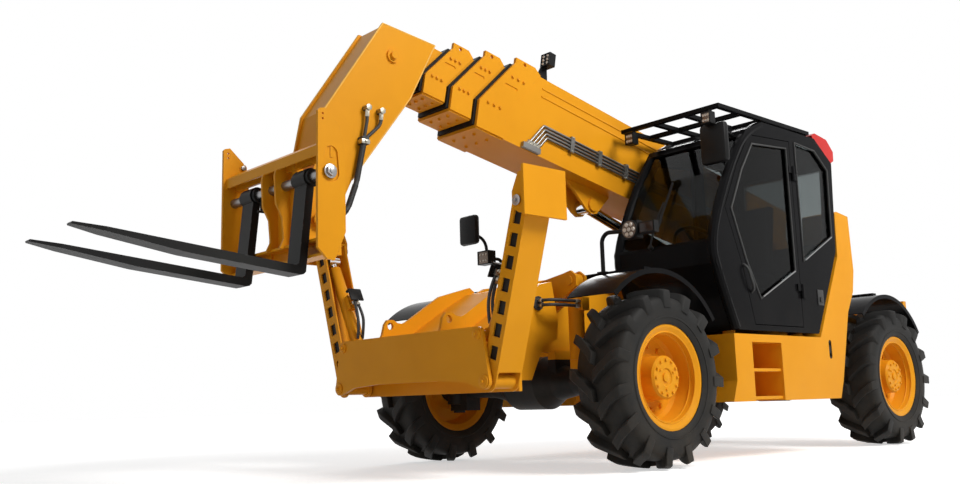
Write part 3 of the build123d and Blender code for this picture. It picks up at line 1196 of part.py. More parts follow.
save("cab_frame", cab_frame())
save("cab_glass", *cab_glass())
save("door_frame", door_frame())
save("door_glass", door_glass())
save("roof_guard", roof_guard())
save("roof_cap", roof_cap())
save("seat", seat())
save("console", console())
save("lamps", *lamps())
save("mirrors", *mirrors())
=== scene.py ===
"""Telehandler on a pale studio floor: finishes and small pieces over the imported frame."""

import json
import math

import bmesh
import bpy
from mathutils import Matrix, Vector


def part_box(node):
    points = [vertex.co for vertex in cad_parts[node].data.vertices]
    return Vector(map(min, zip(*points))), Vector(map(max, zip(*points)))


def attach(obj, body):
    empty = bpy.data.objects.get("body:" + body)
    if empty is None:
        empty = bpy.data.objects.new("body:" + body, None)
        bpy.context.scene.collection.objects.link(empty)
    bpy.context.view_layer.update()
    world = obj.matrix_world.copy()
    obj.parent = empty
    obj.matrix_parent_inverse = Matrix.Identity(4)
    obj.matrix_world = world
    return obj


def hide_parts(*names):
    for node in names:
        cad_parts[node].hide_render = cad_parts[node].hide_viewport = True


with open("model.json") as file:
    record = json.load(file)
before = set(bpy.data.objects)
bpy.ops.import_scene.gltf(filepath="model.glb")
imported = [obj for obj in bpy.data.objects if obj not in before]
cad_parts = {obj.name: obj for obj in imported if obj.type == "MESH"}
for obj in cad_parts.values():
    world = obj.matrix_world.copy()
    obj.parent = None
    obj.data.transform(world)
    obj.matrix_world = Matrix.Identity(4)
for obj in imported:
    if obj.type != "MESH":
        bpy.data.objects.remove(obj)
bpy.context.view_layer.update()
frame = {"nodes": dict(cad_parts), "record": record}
nodes = frame["nodes"]
scene = bpy.context.scene


# Node groups shared by the finishes

def new_group(name, inputs, outputs):
    """Empty shader node group with float inputs and named outputs."""
    tree = bpy.data.node_groups.new(name, "ShaderNodeTree")
    for label, value in inputs.items():
        socket = tree.interface.new_socket(name=label, in_out="INPUT", socket_type="NodeSocketFloat")
        socket.default_value = value
    for label in outputs:
        tree.interface.new_socket(name=label, in_out="OUTPUT", socket_type="NodeSocketFloat")
    return tree, tree.nodes.new("NodeGroupInput"), tree.nodes.new("NodeGroupOutput")


def math_node(tree, operation, first, second=None, clamp=False):
    """Math node whose inputs are numbers or sockets."""
    node = tree.nodes.new("ShaderNodeMath")
    node.operation = operation
    node.use_clamp = clamp
    for index, value in enumerate((first, second)):
        if value is None:
            continue
        if isinstance(value, (int, float)):
            node.inputs[index].default_value = value
        else:
            tree.links.new(value, node.inputs[index])
    return node.outputs[0]


def range_node(tree, value, low, high, to_low=0.0, to_high=1.0):
    """Map Range node from one span to another, clamped at both ends."""
    node = tree.nodes.new("ShaderNodeMapRange")
    tree.links.new(value, node.inputs["Value"])
    for label, number in (("From Min", low), ("From Max", high), ("To Min", to_low), ("To Max", to_high)):
        if isinstance(number, (int, float)):
            node.inputs[label].default_value = number
        else:
            tree.links.new(number, node.inputs[label])
    return node.outputs[0]


def noise_node(tree, scale, detail=4.0, roughness=0.55):
    """Noise on Object coordinates."""
    place = tree.nodes.new("ShaderNodeTexCoord")
    node = tree.nodes.new("ShaderNodeTexNoise")
    node.inputs["Detail"].default_value = detail
    node.inputs["Roughness"].default_value = roughness
    tree.links.new(place.outputs["Object"], node.inputs["Vector"])
    if isinstance(scale, (int, float)):
        node.inputs["Scale"].default_value = scale
    else:
        tree.links.new(scale, node.inputs["Scale"])
    return node.outputs["Fac"]


def make_worn_edges():
    """Mask of chipped corners: where a rounded normal leaves the flat one, broken up by noise."""
    tree, entry, out = new_group("worn_edges", {"Reach": 0.006, "Breakup": 30.0, "Amount": 1.0}, ["Mask"])
    rounded = tree.nodes.new("ShaderNodeBevel")
    rounded.samples = 4
    tree.links.new(entry.outputs["Reach"], rounded.inputs["Radius"])
    flat = tree.nodes.new("ShaderNodeNewGeometry")
    dot = tree.nodes.new("ShaderNodeVectorMath")
    dot.operation = "DOT_PRODUCT"
    tree.links.new(rounded.outputs["Normal"], dot.inputs[0])
    tree.links.new(flat.outputs["Normal"], dot.inputs[1])
    edge = range_node(tree, dot.outputs["Value"], 0.99, 0.86)
    chips = range_node(tree, noise_node(tree, entry.outputs["Breakup"], 6.0, 0.65), 0.50, 0.62)
    chipped = math_node(tree, "MULTIPLY", edge, chips)
    mask = math_node(tree, "MULTIPLY", chipped, entry.outputs["Amount"], clamp=True)
    tree.links.new(mask, out.inputs["Mask"])
    return tree


def make_road_dust():
    """Mask of dust that thins out with height above the ground."""
    tree, entry, out = new_group("road_dust", {"Height": 1.2, "Strength": 0.4, "Scale": 5.0}, ["Mask"])
    place = tree.nodes.new("ShaderNodeTexCoord")
    split = tree.nodes.new("ShaderNodeSeparateXYZ")
    tree.links.new(place.outputs["Object"], split.inputs[0])
    fall = range_node(tree, split.outputs["Z"], entry.outputs["Height"], 0.0)
    cloud = range_node(tree, noise_node(tree, entry.outputs["Scale"], 7.0, 0.6), 0.35, 0.7)
    settled = math_node(tree, "MULTIPLY", fall, cloud)
    mask = math_node(tree, "MULTIPLY", settled, entry.outputs["Strength"], clamp=True)
    tree.links.new(mask, out.inputs["Mask"])
    return tree


def make_surface_grain():
    """Fine height for a Bump node, and a slow tone that shades the colour over a panel."""
    tree, entry, out = new_group("surface_grain", {"Fine": 220.0, "Broad": 1.6}, ["Height", "Tone"])
    tree.links.new(noise_node(tree, entry.outputs["Fine"], 3.0), out.inputs["Height"])
    slow = noise_node(tree, entry.outputs["Broad"], 3.0)
    tree.links.new(range_node(tree, slow, 0.3, 0.7), out.inputs["Tone"])
    return tree


WORN_EDGES = make_worn_edges()
ROAD_DUST = make_road_dust()
SURFACE_GRAIN = make_surface_grain()


def place_group(tree, group, **values):
    """Shared group placed in a material with its own values."""
    node = tree.nodes.new("ShaderNodeGroup")
    node.node_tree = group
    for label, value in values.items():
        node.inputs[label].default_value = value
    return node


def mix_colour(tree, factor, first, second):
    """Colour mix of two colours or sockets."""
    node = tree.nodes.new("ShaderNodeMix")
    node.data_type = "RGBA"
    tree.links.new(factor, node.inputs[0])
    for index, colour in ((6, first), (7, second)):
        if isinstance(colour, tuple):
            node.inputs[index].default_value = (*colour, 1.0)
        else:
            tree.links.new(colour, node.inputs[index])
    return node.outputs[2]


DUST = (0.30, 0.24, 0.17)
DUST_SCALE = 4.5
DUST_DULLING = 0.35
CHIP_REACH = 0.006
CHIP_BREAKUP = 26.0
ROUGH_SPREAD = 0.08
RELIEF_DEPTH = 0.004
GLASS_IOR = 1.16


def finish(name, colour, shade, rough, metallic=0.0, fine=220.0, bump=0.02, broad=1.6, worn=None,
           worn_amount=0.8, dust=0.3, dust_height=1.2, gloss=0.5):
    """Opaque finish: two tones, chipped edges, dust from the ground up and a fine bump."""
    material = bpy.data.materials.new(name)
    material.use_nodes = True
    tree = material.node_tree
    shader = tree.nodes["Principled BSDF"]
    shader.inputs["Metallic"].default_value = metallic
    shader.inputs["Specular IOR Level"].default_value = gloss
    grain = place_group(tree, SURFACE_GRAIN, Fine=fine, Broad=broad)
    tint = mix_colour(tree, grain.outputs["Tone"], colour, shade)
    if worn is not None:
        edges = place_group(tree, WORN_EDGES, Reach=CHIP_REACH, Breakup=CHIP_BREAKUP, Amount=worn_amount)
        tint = mix_colour(tree, edges.outputs["Mask"], tint, worn)
    powder = place_group(tree, ROAD_DUST, Height=dust_height, Strength=dust, Scale=DUST_SCALE)
    tint = mix_colour(tree, powder.outputs["Mask"], tint, DUST)
    tree.links.new(tint, shader.inputs["Base Color"])
    smoothest, roughest = rough - ROUGH_SPREAD / 2, rough + ROUGH_SPREAD / 2
    spread = range_node(tree, grain.outputs["Tone"], 0.0, 1.0, smoothest, roughest)
    dusty = math_node(tree, "MULTIPLY", powder.outputs["Mask"], DUST_DULLING)
    dull = math_node(tree, "ADD", spread, dusty, clamp=True)
    tree.links.new(dull, shader.inputs["Roughness"])
    relief = tree.nodes.new("ShaderNodeBump")
    relief.inputs["Strength"].default_value = bump
    relief.inputs["Distance"].default_value = RELIEF_DEPTH
    tree.links.new(grain.outputs["Height"], relief.inputs["Height"])
    tree.links.new(relief.outputs["Normal"], shader.inputs["Normal"])
    return material


def clear(name, colour, grime):
    """Window glass: plain transmission with a faint film."""
    material = bpy.data.materials.new(name)
    material.use_nodes = True
    tree = material.node_tree
    shader = tree.nodes["Principled BSDF"]
    shader.inputs["Transmission Weight"].default_value = 1.0
    shader.inputs["IOR"].default_value = GLASS_IOR
    shader.inputs["Roughness"].default_value = 0.0
    grain = place_group(tree, SURFACE_GRAIN, Fine=90.0, Broad=2.4)
    faded = tuple(c * (1 - grime) for c in colour)
    tree.links.new(mix_colour(tree, grain.outputs["Tone"], colour, faded), shader.inputs["Base Color"])
    return material


YELLOW = finish("machine_yellow", (0.84, 0.355, 0.013), (0.77, 0.315, 0.010), 0.36, bump=0.03,
                gloss=0.09, worn=(0.30, 0.20, 0.10), worn_amount=0.35, dust=0.07, dust_height=1.0)
CAB_BLACK = finish("cab_black_paint", (0.006, 0.006, 0.0065), (0.009, 0.009, 0.010), 0.20, bump=0.02,
                   gloss=0.03, worn=(0.05, 0.05, 0.05), worn_amount=0.25, dust=0.04, dust_height=1.4)
FRAME_BLACK = finish("chassis_black_paint", (0.009, 0.009, 0.009), (0.014, 0.013, 0.012), 0.5, bump=0.08,
                     gloss=0.15, worn=(0.07, 0.06, 0.05), dust=0.12)
MOULDED = finish("black_moulding", (0.008, 0.008, 0.0085), (0.013, 0.013, 0.013), 0.42, fine=420.0,
                 bump=0.15, gloss=0.10, dust=0.05, dust_height=1.4)
RUBBER = finish("tyre_rubber", (0.009, 0.009, 0.009), (0.016, 0.0155, 0.0145), 0.60, fine=160.0,
                bump=0.18, gloss=0.16, broad=5.0, dust=0.10, dust_height=1.1)
FORK_BLACK = finish("fork_black_paint", (0.010, 0.010, 0.011), (0.018, 0.018, 0.017), 0.42, bump=0.06,
                    gloss=0.10, worn=(0.16, 0.155, 0.15), worn_amount=0.6, dust=0.03)
CHROME = finish("rod_chrome", (0.78, 0.78, 0.79), (0.70, 0.70, 0.72), 0.10, metallic=1.0, bump=0.01,
                dust=0.03)
BARE_STEEL = finish("bare_steel", (0.34, 0.34, 0.35), (0.24, 0.235, 0.23), 0.36, metallic=1.0, fine=320.0,
                    bump=0.05, dust=0.10)
PIPE_STEEL = finish("pipe_steel", (0.32, 0.31, 0.29), (0.20, 0.19, 0.18), 0.30, metallic=0.9, dust=0.03)
# Lighter yellow of the neck's edge tubes: a painted highlight where the edges catch the light
EDGE_HIGHLIGHT_YELLOW = finish("painted_edge_highlight", (0.92, 0.52, 0.10), (0.86, 0.45, 0.07), 0.45, bump=0.10, dust=0.0,
                    gloss=0.15)
LED = finish("led_face", (0.74, 0.70, 0.62), (0.60, 0.56, 0.50), 0.20, fine=160.0, bump=0.10, dust=0.0)
CAST = finish("engine_cast", (0.10, 0.10, 0.105), (0.06, 0.06, 0.06), 0.62, fine=120.0, bump=0.3, dust=0.4)
RED = finish("red_lamp_plastic", (0.62, 0.025, 0.02), (0.50, 0.018, 0.015), 0.30, fine=300.0, dust=0.02,
             gloss=0.15)
SEAT_CLOTH = finish("seat_cloth", (0.022, 0.022, 0.025), (0.034, 0.034, 0.037), 0.9, fine=900.0, bump=0.5,
                    dust=0.05)
HOSE = finish("hose_rubber", (0.012, 0.012, 0.012), (0.020, 0.020, 0.020), 0.58, fine=500.0, bump=0.25,
              dust=0.06)
ZINC = finish("zinc_plate", (0.46, 0.44, 0.38), (0.34, 0.32, 0.26), 0.34, metallic=1.0, fine=260.0, dust=0.08)
GLASS = clear("tinted_glass", (0.36, 0.39, 0.39), 0.06)
# Door glass far darker than the screen: the dark colour paints the dark reflection seen on the door glass
DOOR_GLASS_DARK_REFLECTION = clear("door_glass_painted_reflection", (0.080, 0.090, 0.090), 0.06)
AMBER = finish("amber_lens", (0.60, 0.16, 0.015), (0.50, 0.12, 0.010), 0.22, fine=140.0, bump=0.12,
               dust=0.02, gloss=0.25)
SMOKED = finish("smoked_lens", (0.020, 0.010, 0.007), (0.030, 0.015, 0.010), 0.18, fine=140.0, bump=0.12,
                dust=0.0, gloss=0.25)
TAIL_RED = finish("tail_lens", (0.50, 0.01, 0.01), (0.40, 0.008, 0.008), 0.20, fine=140.0, bump=0.1,
                  dust=0.05, gloss=0.25)
REFLECTOR = finish("lamp_reflector", (0.16, 0.12, 0.09), (0.10, 0.075, 0.06), 0.30, metallic=0.6,
                   fine=120.0, bump=0.3, dust=0.0)
MIRROR = finish("mirror_face", (0.80, 0.82, 0.83), (0.76, 0.78, 0.79), 0.04, metallic=1.0, bump=0.0, dust=0.0)

NODE_FINISH = {
    "front_axle": FRAME_BLACK, "rear_axle": FRAME_BLACK, "drive_line": FRAME_BLACK, "engine_block": CAST,
    "fenders": CAB_BLACK, "cab_frame": CAB_BLACK, "door_frame": CAB_BLACK,
    "cab_glass": GLASS, "door_glass": DOOR_GLASS_DARK_REFLECTION, "roof_guard": CAB_BLACK, "roof_cap": RED,
    "seat": SEAT_CLOTH, "console": MOULDED, "lamps": MOULDED,
    "mirrors": MOULDED, "boom_pipes": PIPE_STEEL, "fork_shaft": BARE_STEEL, "fork_left": FORK_BLACK,
    "fork_right": FORK_BLACK, "lift_barrel": FRAME_BLACK, "lift_rod": CHROME,
    "leg_rod_left": CHROME, "leg_rod_right": CHROME, "beam_hoses": HOSE, "neck_hoses": HOSE,
    "boom_lamp": MOULDED,
}
for name, node in nodes.items():
    look = NODE_FINISH.get(name, YELLOW)
    if name.startswith("wear_pads"):
        look = MOULDED
    elif name.startswith("knuckle"):
        look = FRAME_BLACK
    elif name.startswith("tyre"):
        look = RUBBER
    node.data.materials.clear()
    node.data.materials.append(look)


# Pieces

def add_piece(name, mesh_maker, body, material, replaced=(), smooth_deg=35):
    """Turns a filled bmesh into a finished piece on its body."""
    bmesh.ops.remove_doubles(mesh_maker, verts=mesh_maker.verts, dist=1e-5)
    bmesh.ops.recalc_face_normals(mesh_maker, faces=mesh_maker.faces)
    mesh = bpy.data.meshes.new(name)
    mesh_maker.to_mesh(mesh)
    mesh_maker.free()
    mesh.polygons.foreach_set("use_smooth", [True] * len(mesh.polygons))
    mesh.set_sharp_from_angle(angle=math.radians(smooth_deg))
    mesh.materials.append(material)
    piece = bpy.data.objects.new(name, mesh)
    scene.collection.objects.link(piece)
    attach(piece, body)
    if replaced:
        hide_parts(*replaced)
    return piece


def round_edges(bm, edges, amount, segments=2):
    """Bevel of one width along a list of edges."""
    bmesh.ops.bevel(bm, geom=edges, offset=amount, offset_type="OFFSET", segments=segments, profile=0.5,
                    affect="EDGES", material=-1, clamp_overlap=True)


def add_box(bm, low, high, soft=0.0):
    """Box between two corners, with its edges rounded if a width is given."""
    low, high = Vector(low), Vector(high)
    size = high - low
    place = Matrix.Translation((low + high) / 2) @ Matrix.Diagonal((size.x, size.y, size.z, 1.0))
    verts = bmesh.ops.create_cube(bm, size=1.0, matrix=place)["verts"]
    if soft:
        round_edges(bm, list({edge for vert in verts for edge in vert.link_edges}), soft)


def add_rod(bm, start, end, radius, sides, end_radius=None, soft=0.0):
    """Round bar or cone between two points."""
    start, end = Vector(start), Vector(end)
    run = end - start
    place = Matrix.Translation((start + end) / 2) @ run.to_track_quat("Z", "Y").to_matrix().to_4x4()
    far = radius if end_radius is None else end_radius
    verts = bmesh.ops.create_cone(bm, cap_ends=True, segments=sides, radius1=radius, radius2=far,
                                  depth=run.length, matrix=place)["verts"]
    if soft:
        rims = [e for v in verts for e in v.link_edges if len(e.link_faces) == 2
                and any(len(f.verts) > 4 for f in e.link_faces)]
        round_edges(bm, list(set(rims)), soft)


def add_pin(bm, at, axis, start, end, radius, sides, soft=0.0):
    """Round bar along an axis, between two distances from a point."""
    at, axis = Vector(at), Vector(axis)
    add_rod(bm, at + axis * start, at + axis * end, radius, sides, soft=soft)


def add_bolt(bm, at, axis, across):
    """Hexagon bolt head on a washer, standing out along an axis."""
    at, axis = Vector(at), Vector(axis).normalized()
    add_rod(bm, at, at + axis * across * 0.14, across * 0.72, 20)
    add_rod(bm, at + axis * across * 0.13, at + axis * across * 0.62, across * 0.56, 6, soft=across * 0.06)


def add_tube(bm, points, radius, smooth=False, closed=False):
    """Round tube along a list of points, straight or as one smooth line."""
    curve = bpy.data.curves.new("tube_path", "CURVE")
    curve.dimensions = "3D"
    curve.bevel_depth = radius
    curve.bevel_resolution = 3
    curve.use_fill_caps = True
    spline = curve.splines.new("NURBS" if smooth else "POLY")
    spline.points.add(len(points) - 1)
    for point, place in zip(spline.points, points):
        point.co = (*place, 1.0)
    if smooth:
        spline.use_endpoint_u = True
        spline.order_u = 3
        spline.resolution_u = 8
    spline.use_cyclic_u = closed
    holder = bpy.data.objects.new("tube_path", curve)
    mesh = bpy.data.meshes.new_from_object(holder)
    bm.from_mesh(mesh)
    bpy.data.objects.remove(holder)
    bpy.data.curves.remove(curve)
    bpy.data.meshes.remove(mesh)


def middle_of(node):
    """Middle of a node's box at rest."""
    low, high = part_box(node)
    return (Vector(low) + Vector(high)) / 2


def joint_place(name):
    """Rest place of a joint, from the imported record."""
    for joint in frame["record"]["behaviour"]["joints"]:
        if joint["name"] == name:
            return Vector(joint["pos_m"])
    raise ValueError(name)


LUGS = 15
LUG_EDGE = 0.005
LUG_TOP_R = 0.579
LUG_ROOT_R = 0.520
LUG_PITCH_R = 0.56
LUG_START_Y = 0.006
LUG_REACH_Y = 0.192
TYRE_STEPS = 120
TYRE_OUTLINE = [
    (0.150, 0.3055), (0.150, 0.3435), (0.174, 0.3435), (0.178, 0.352), (0.185, 0.366), (0.188, 0.382),
    (0.1925, 0.384), (0.1925, 0.392), (0.188, 0.396), (0.192, 0.430), (0.191, 0.458), (0.186, 0.484),
    (0.178, 0.504), (0.164, 0.518), (0.140, 0.526), (0.090, 0.530), (0.0, 0.532),
]

HUB_FACE = 0.140
# Each ring of bolts: count, turn, radius, face and width across
HUB_RINGS = (
    (12, 0.0, 0.206, -0.004, 0.028),
    (12, 0.0, 0.112, HUB_FACE, 0.017),
    (3, 0.3, 0.078, HUB_FACE, 0.014),
)
VALVE_R = 0.262
RIM_BEADS = ((0.151, 0.2930), (0.112, 0.2868))
BEAD_STEPS = 72


def lug_mesh(side):
    """One lug at the tyre's top: a tapered bar that sweeps back and drops over the shoulder."""
    bm = bmesh.new()
    bmesh.ops.create_cube(bm, size=1.0)
    long_edges = [e for e in bm.edges if abs(e.verts[0].co.y - e.verts[1].co.y) > 0.5]
    bmesh.ops.subdivide_edges(bm, edges=long_edges, cuts=5, use_grid_fill=True)
    for vert in bm.verts:
        along = vert.co.y + 0.5
        top = vert.co.z + 0.5
        width = (0.098 - 0.012 * along) * (1.0 - 0.24 * top)
        sweep = 0.052 - 0.205 * along + 0.055 * along * along + vert.co.x * width
        crown = LUG_TOP_R - 0.004 * along - 0.014 * max(0.0, along - 0.8) / 0.2
        root = LUG_ROOT_R - 0.075 * max(0.0, along - 0.55) / 0.45
        radius = root + top * (crown - root)
        angle = sweep / LUG_PITCH_R
        y = side * (LUG_START_Y + along * LUG_REACH_Y)
        vert.co = Vector((radius * math.sin(angle), y, radius * math.cos(angle)))
    bmesh.ops.recalc_face_normals(bm, faces=bm.faces)
    corners = [e for e in bm.edges if e.calc_face_angle(0.0) > 0.5]
    round_edges(bm, corners, LUG_EDGE, segments=1)
    mesh = bpy.data.meshes.new("tyre_lug")
    bm.to_mesh(mesh)
    bm.free()
    return mesh


def tyre_mesh():
    """Tyre about its own centre: a spun carcass and slanted lugs that curve towards the shoulder."""
    bm = bmesh.new()
    outline = TYRE_OUTLINE + [(-y, r) for y, r in reversed(TYRE_OUTLINE[:-1])]
    ring = [bm.verts.new((0.0, y, r)) for y, r in outline]
    edges = [bm.edges.new((ring[i], ring[(i + 1) % len(ring)])) for i in range(len(ring))]
    bmesh.ops.spin(bm, geom=ring + edges, cent=(0, 0, 0), axis=(0, 1, 0), dvec=(0, 0, 0), angle=2 * math.pi,
                   steps=TYRE_STEPS, use_merge=True)
    for side in (1, -1):
        lug = lug_mesh(side)
        for index in range(LUGS):
            start = len(bm.verts)
            bm.from_mesh(lug)
            bm.verts.ensure_lookup_table()
            turn = 2 * math.pi / LUGS * (index + (0.5 if side > 0 else 0.0))
            bmesh.ops.rotate(bm, cent=(0, 0, 0), matrix=Matrix.Rotation(turn, 3, "Y"), verts=bm.verts[start:])
    bmesh.ops.remove_doubles(bm, verts=bm.verts, dist=1e-5)
    bmesh.ops.recalc_face_normals(bm, faces=bm.faces)
    mesh = bpy.data.meshes.new("tyre_pattern")
    bm.to_mesh(mesh)
    bm.free()
    return mesh


def hub_bolts(side):
    """Wheel nuts, cover screws, plug, valve and rim beads of a wheel whose outer side is +Y or -Y."""
    bm = bmesh.new()
    out = Vector((0.0, side, 0.0))
    for count, turn, radius, face, across in HUB_RINGS:
        for index in range(count):
            angle = 2 * math.pi * (index + turn) / count
            spoke = Vector((math.cos(angle), 0.0, math.sin(angle)))
            add_bolt(bm, spoke * radius + out * face, out, across)
    add_pin(bm, (0, 0, 0), out, HUB_FACE - 0.009, HUB_FACE + 0.002, 0.030, 24, soft=0.002)
    add_rod(bm, (0.0, side * 0.01, VALVE_R), (0.0, side * 0.055, VALVE_R), 0.006, 12, 0.004)
    steps = [2 * math.pi * index / BEAD_STEPS for index in range(BEAD_STEPS)]
    for y, radius in RIM_BEADS:
        circle = [(radius * math.cos(angle), side * y, radius * math.sin(angle)) for angle in steps]
        add_tube(bm, circle, 0.006, closed=True)
    return bm


TYRE = tyre_mesh()
for end in ("front", "rear"):
    for place, side in (("left", 1), ("right", -1)):
        wheel = f"{end}_{place}"
        centre = Matrix.Translation(middle_of(f"rim_{wheel}"))
        bm = bmesh.new()
        bm.from_mesh(TYRE)
        bmesh.ops.transform(bm, matrix=centre, verts=bm.verts)
        add_piece(f"lugged_tyre_{wheel}", bm, f"wheel_{wheel}", RUBBER, (f"tyre_{wheel}",))
        bm = hub_bolts(side)
        bmesh.ops.transform(bm, matrix=centre, verts=bm.verts)
        add_piece(f"wheel_nuts_{wheel}", bm, f"wheel_{wheel}", YELLOW)


# Boom

BOOM_LEAN_DEG = -10.9
BOOM = Matrix.Translation((-2.75, 0.0, 1.8)) @ Matrix.Rotation(math.radians(BOOM_LEAN_DEG), 4, "Y")
# Each collar: body, node, half width, height and length along the boom
COLLARS = (
    ("boom", "boom_outer", 0.204, 0.624, 0.265),
    ("stage_a", "boom_mid_a", 0.167, 0.522, 0.192),
    ("stage_b", "boom_mid_b", 0.132, 0.426, 0.192),
)
OUTER_HALF = COLLARS[0][2]
OUTER_TALL = COLLARS[0][3]
OUTER_REACH = COLLARS[0][4]
BOOM_MIDDLE = 0.155
BOOM_TOP = BOOM_MIDDLE + OUTER_TALL / 2
BOOM_FLOOR = BOOM_MIDDLE - OUTER_TALL / 2
FIRST_FRONT = 3.805
FRONT_STEP = 0.222
COLLAR_PLATE = 0.012
COLLAR_RAKE = 0.300 / OUTER_TALL
COLLAR_SCREW = 0.020
SEAM_ENDS = (0.30, 3.20)
PIVOT_CAP_R = 0.078
PIVOT_SCREW_R = 0.052
PIPES = 4
PIPE_PITCH = 0.028
PIPE_CLAMPS = 6
CLAMP_PITCH = 0.324
NECK_HOSE_Y = 0.1433 + 0.030
GUARD_TURN = 0.0105
BEAM_HOSE_Z = (1.089, 1.121)
BEAM_HOSE_NUT_R = 0.0155


def collar_screws():
    """Two rows of three screws on each cheek and two rows under each collar."""
    for index, (body, node, half, tall, reach) in enumerate(COLLARS):
        front = FIRST_FRONT + FRONT_STEP * index
        low = BOOM_MIDDLE - tall / 2
        square = low + tall * 0.33
        rake = COLLAR_RAKE * tall
        bm = bmesh.new()
        for share in (0.02, 0.70):
            t = square + share * (tall - (square - low))
            middle = front - reach * 0.5 - rake * share
            for place in (-1, 0, 1):
                for side in (1, -1):
                    at = BOOM @ Vector((middle + place * reach * 0.22, side * (half + COLLAR_PLATE), t))
                    add_bolt(bm, at, (0, side, 0), COLLAR_SCREW)
        down = BOOM.to_3x3() @ Vector((0, 0, -1))
        for share in (0.28, 0.74):
            for across in (-0.55, 0.0, 0.55):
                at = BOOM @ Vector((front - reach * share, half * across, low - COLLAR_PLATE))
                add_bolt(bm, at, down, COLLAR_SCREW)
        add_piece(f"collar_screws_{node}", bm, body, YELLOW)


def boom_seams():
    """Folded seams along both sides of the outer section and caps on its pivot pin."""
    bm = bmesh.new()
    for side in (1, -1):
        for drop in (0.085, 0.150):
            start, end = [BOOM @ Vector((s, side * OUTER_HALF, BOOM_TOP - drop)) for s in SEAM_ENDS]
            add_rod(bm, start, end, 0.007, 8)
    low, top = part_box("boom_outer")
    pivot = BOOM.translation
    for side, y in ((1, top[1]), (-1, low[1])):
        face = Vector((pivot.x, y, pivot.z))
        add_pin(bm, face, (0, side, 0), -0.004, 0.012, PIVOT_CAP_R, 40, soft=0.003)
        for index in range(4):
            angle = math.pi * (index + 0.5) / 2
            spoke = Vector((PIVOT_SCREW_R * math.cos(angle), side * 0.012, PIVOT_SCREW_R * math.sin(angle)))
            add_bolt(bm, face + spoke, (0, side, 0), 0.020)
    add_piece("boom_seams", bm, "boom", YELLOW)


def pipe_fittings():
    """Nuts where the pipes enter their foot, and clamp screws."""
    bend = FIRST_FRONT - OUTER_REACH - 0.425
    bm = bmesh.new()
    for index in range(PIPE_CLAMPS):
        s = bend - 0.270 - index * CLAMP_PITCH
        for rise in (0.146, 0.258):
            add_bolt(bm, BOOM @ Vector((s, OUTER_HALF + 0.030, BOOM_FLOOR + rise)), (0, 1, 0), 0.013)
    for index in range(PIPES):
        rise = 0.160 + index * PIPE_PITCH
        end = bend + index * PIPE_PITCH * 0.52 + (rise - 0.024) * 0.71
        tip = BOOM @ Vector((end, OUTER_HALF + 0.016, BOOM_FLOOR + 0.040))
        back = BOOM @ Vector((end - 0.025, OUTER_HALF + 0.016, BOOM_FLOOR + 0.075))
        add_rod(bm, tip, back, 0.0145, 6, soft=0.001)
    add_piece("pipe_fittings", bm, "boom", ZINC)


def hose_fittings():
    """Fittings of the neck hoses and the coiled guard on the long one."""
    y = NECK_HOSE_Y
    bm = bmesh.new()
    for x, z in ((1.918, 2.336), (1.809, 2.331)):
        add_rod(bm, (x, y - 0.028, z), (x, y + 0.020, z), 0.023, 6, soft=0.002)
        add_rod(bm, (x, y, z - 0.006), (x + 0.004, y, z - 0.062), 0.015, 6, soft=0.001)
    add_box(bm, (1.918, y - 0.028, 2.088), (1.982, y + 0.026, 2.118), 0.004)
    add_bolt(bm, (1.950, y + 0.026, 2.103), (0, 1, 0), 0.016)
    add_piece("neck_fittings", bm, "boom_head", ZINC)
    bm = bmesh.new()
    route = [Vector((x, y, z)) for x, z in ((1.950, 2.105), (2.010, 1.830), (2.075, 1.660), (2.140, 1.590))]
    for start, end in zip(route, route[1:]):
        run = end - start
        count = int(run.length / GUARD_TURN)
        for index in range(2, count - 1):
            at = start + run * (index / count)
            step = run.normalized() * 0.0030
            add_rod(bm, at - step, at + step, 0.0195, 18)
    add_piece("hose_guard", bm, "boom_head", HOSE)


def beam_fittings():
    """Nuts at both ends of the two hoses behind the nose plate."""
    bm = bmesh.new()
    low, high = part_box("beam_hoses")
    for z in BEAM_HOSE_Z:
        add_pin(bm, (low[0], 0.609, z), (1, 0, 0), 0.001, 0.050, BEAM_HOSE_NUT_R, 6, soft=0.001)
        add_pin(bm, (high[0] - 0.048, 0.510, z), (0, 1, 0), -0.018, 0.018, BEAM_HOSE_NUT_R, 6, soft=0.001)
    add_piece("beam_fittings", bm, "chassis", ZINC)


collar_screws()
boom_seams()
pipe_fittings()
hose_fittings()
beam_fittings()


# Carriage and stabilisers

NECK_HALF = 0.205
# Leg and cylinder pins on the beam: place across, height and washer radius
BEAM_PINS = ((0.758, 0.576, 0.040), (0.706, 0.860, 0.035))
PAD_PIN_HALF = 0.1325
LEG_LEAN_DEG = 17.0
# Place across the leg of the black sheet that paints the shade inside it
SHADE_SHEET_X = 0.0840
LIFT_LEAN_DEG = 17.0
# Bands on the lift cylinder: start, end and radius
LIFT_BANDS = ((0.34, 0.40, 0.090), (0.52, 0.54, 0.088))
# Place across of the neck's edge tubes, which carry a painted highlight
NECK_HIGHLIGHT_Y = 0.139


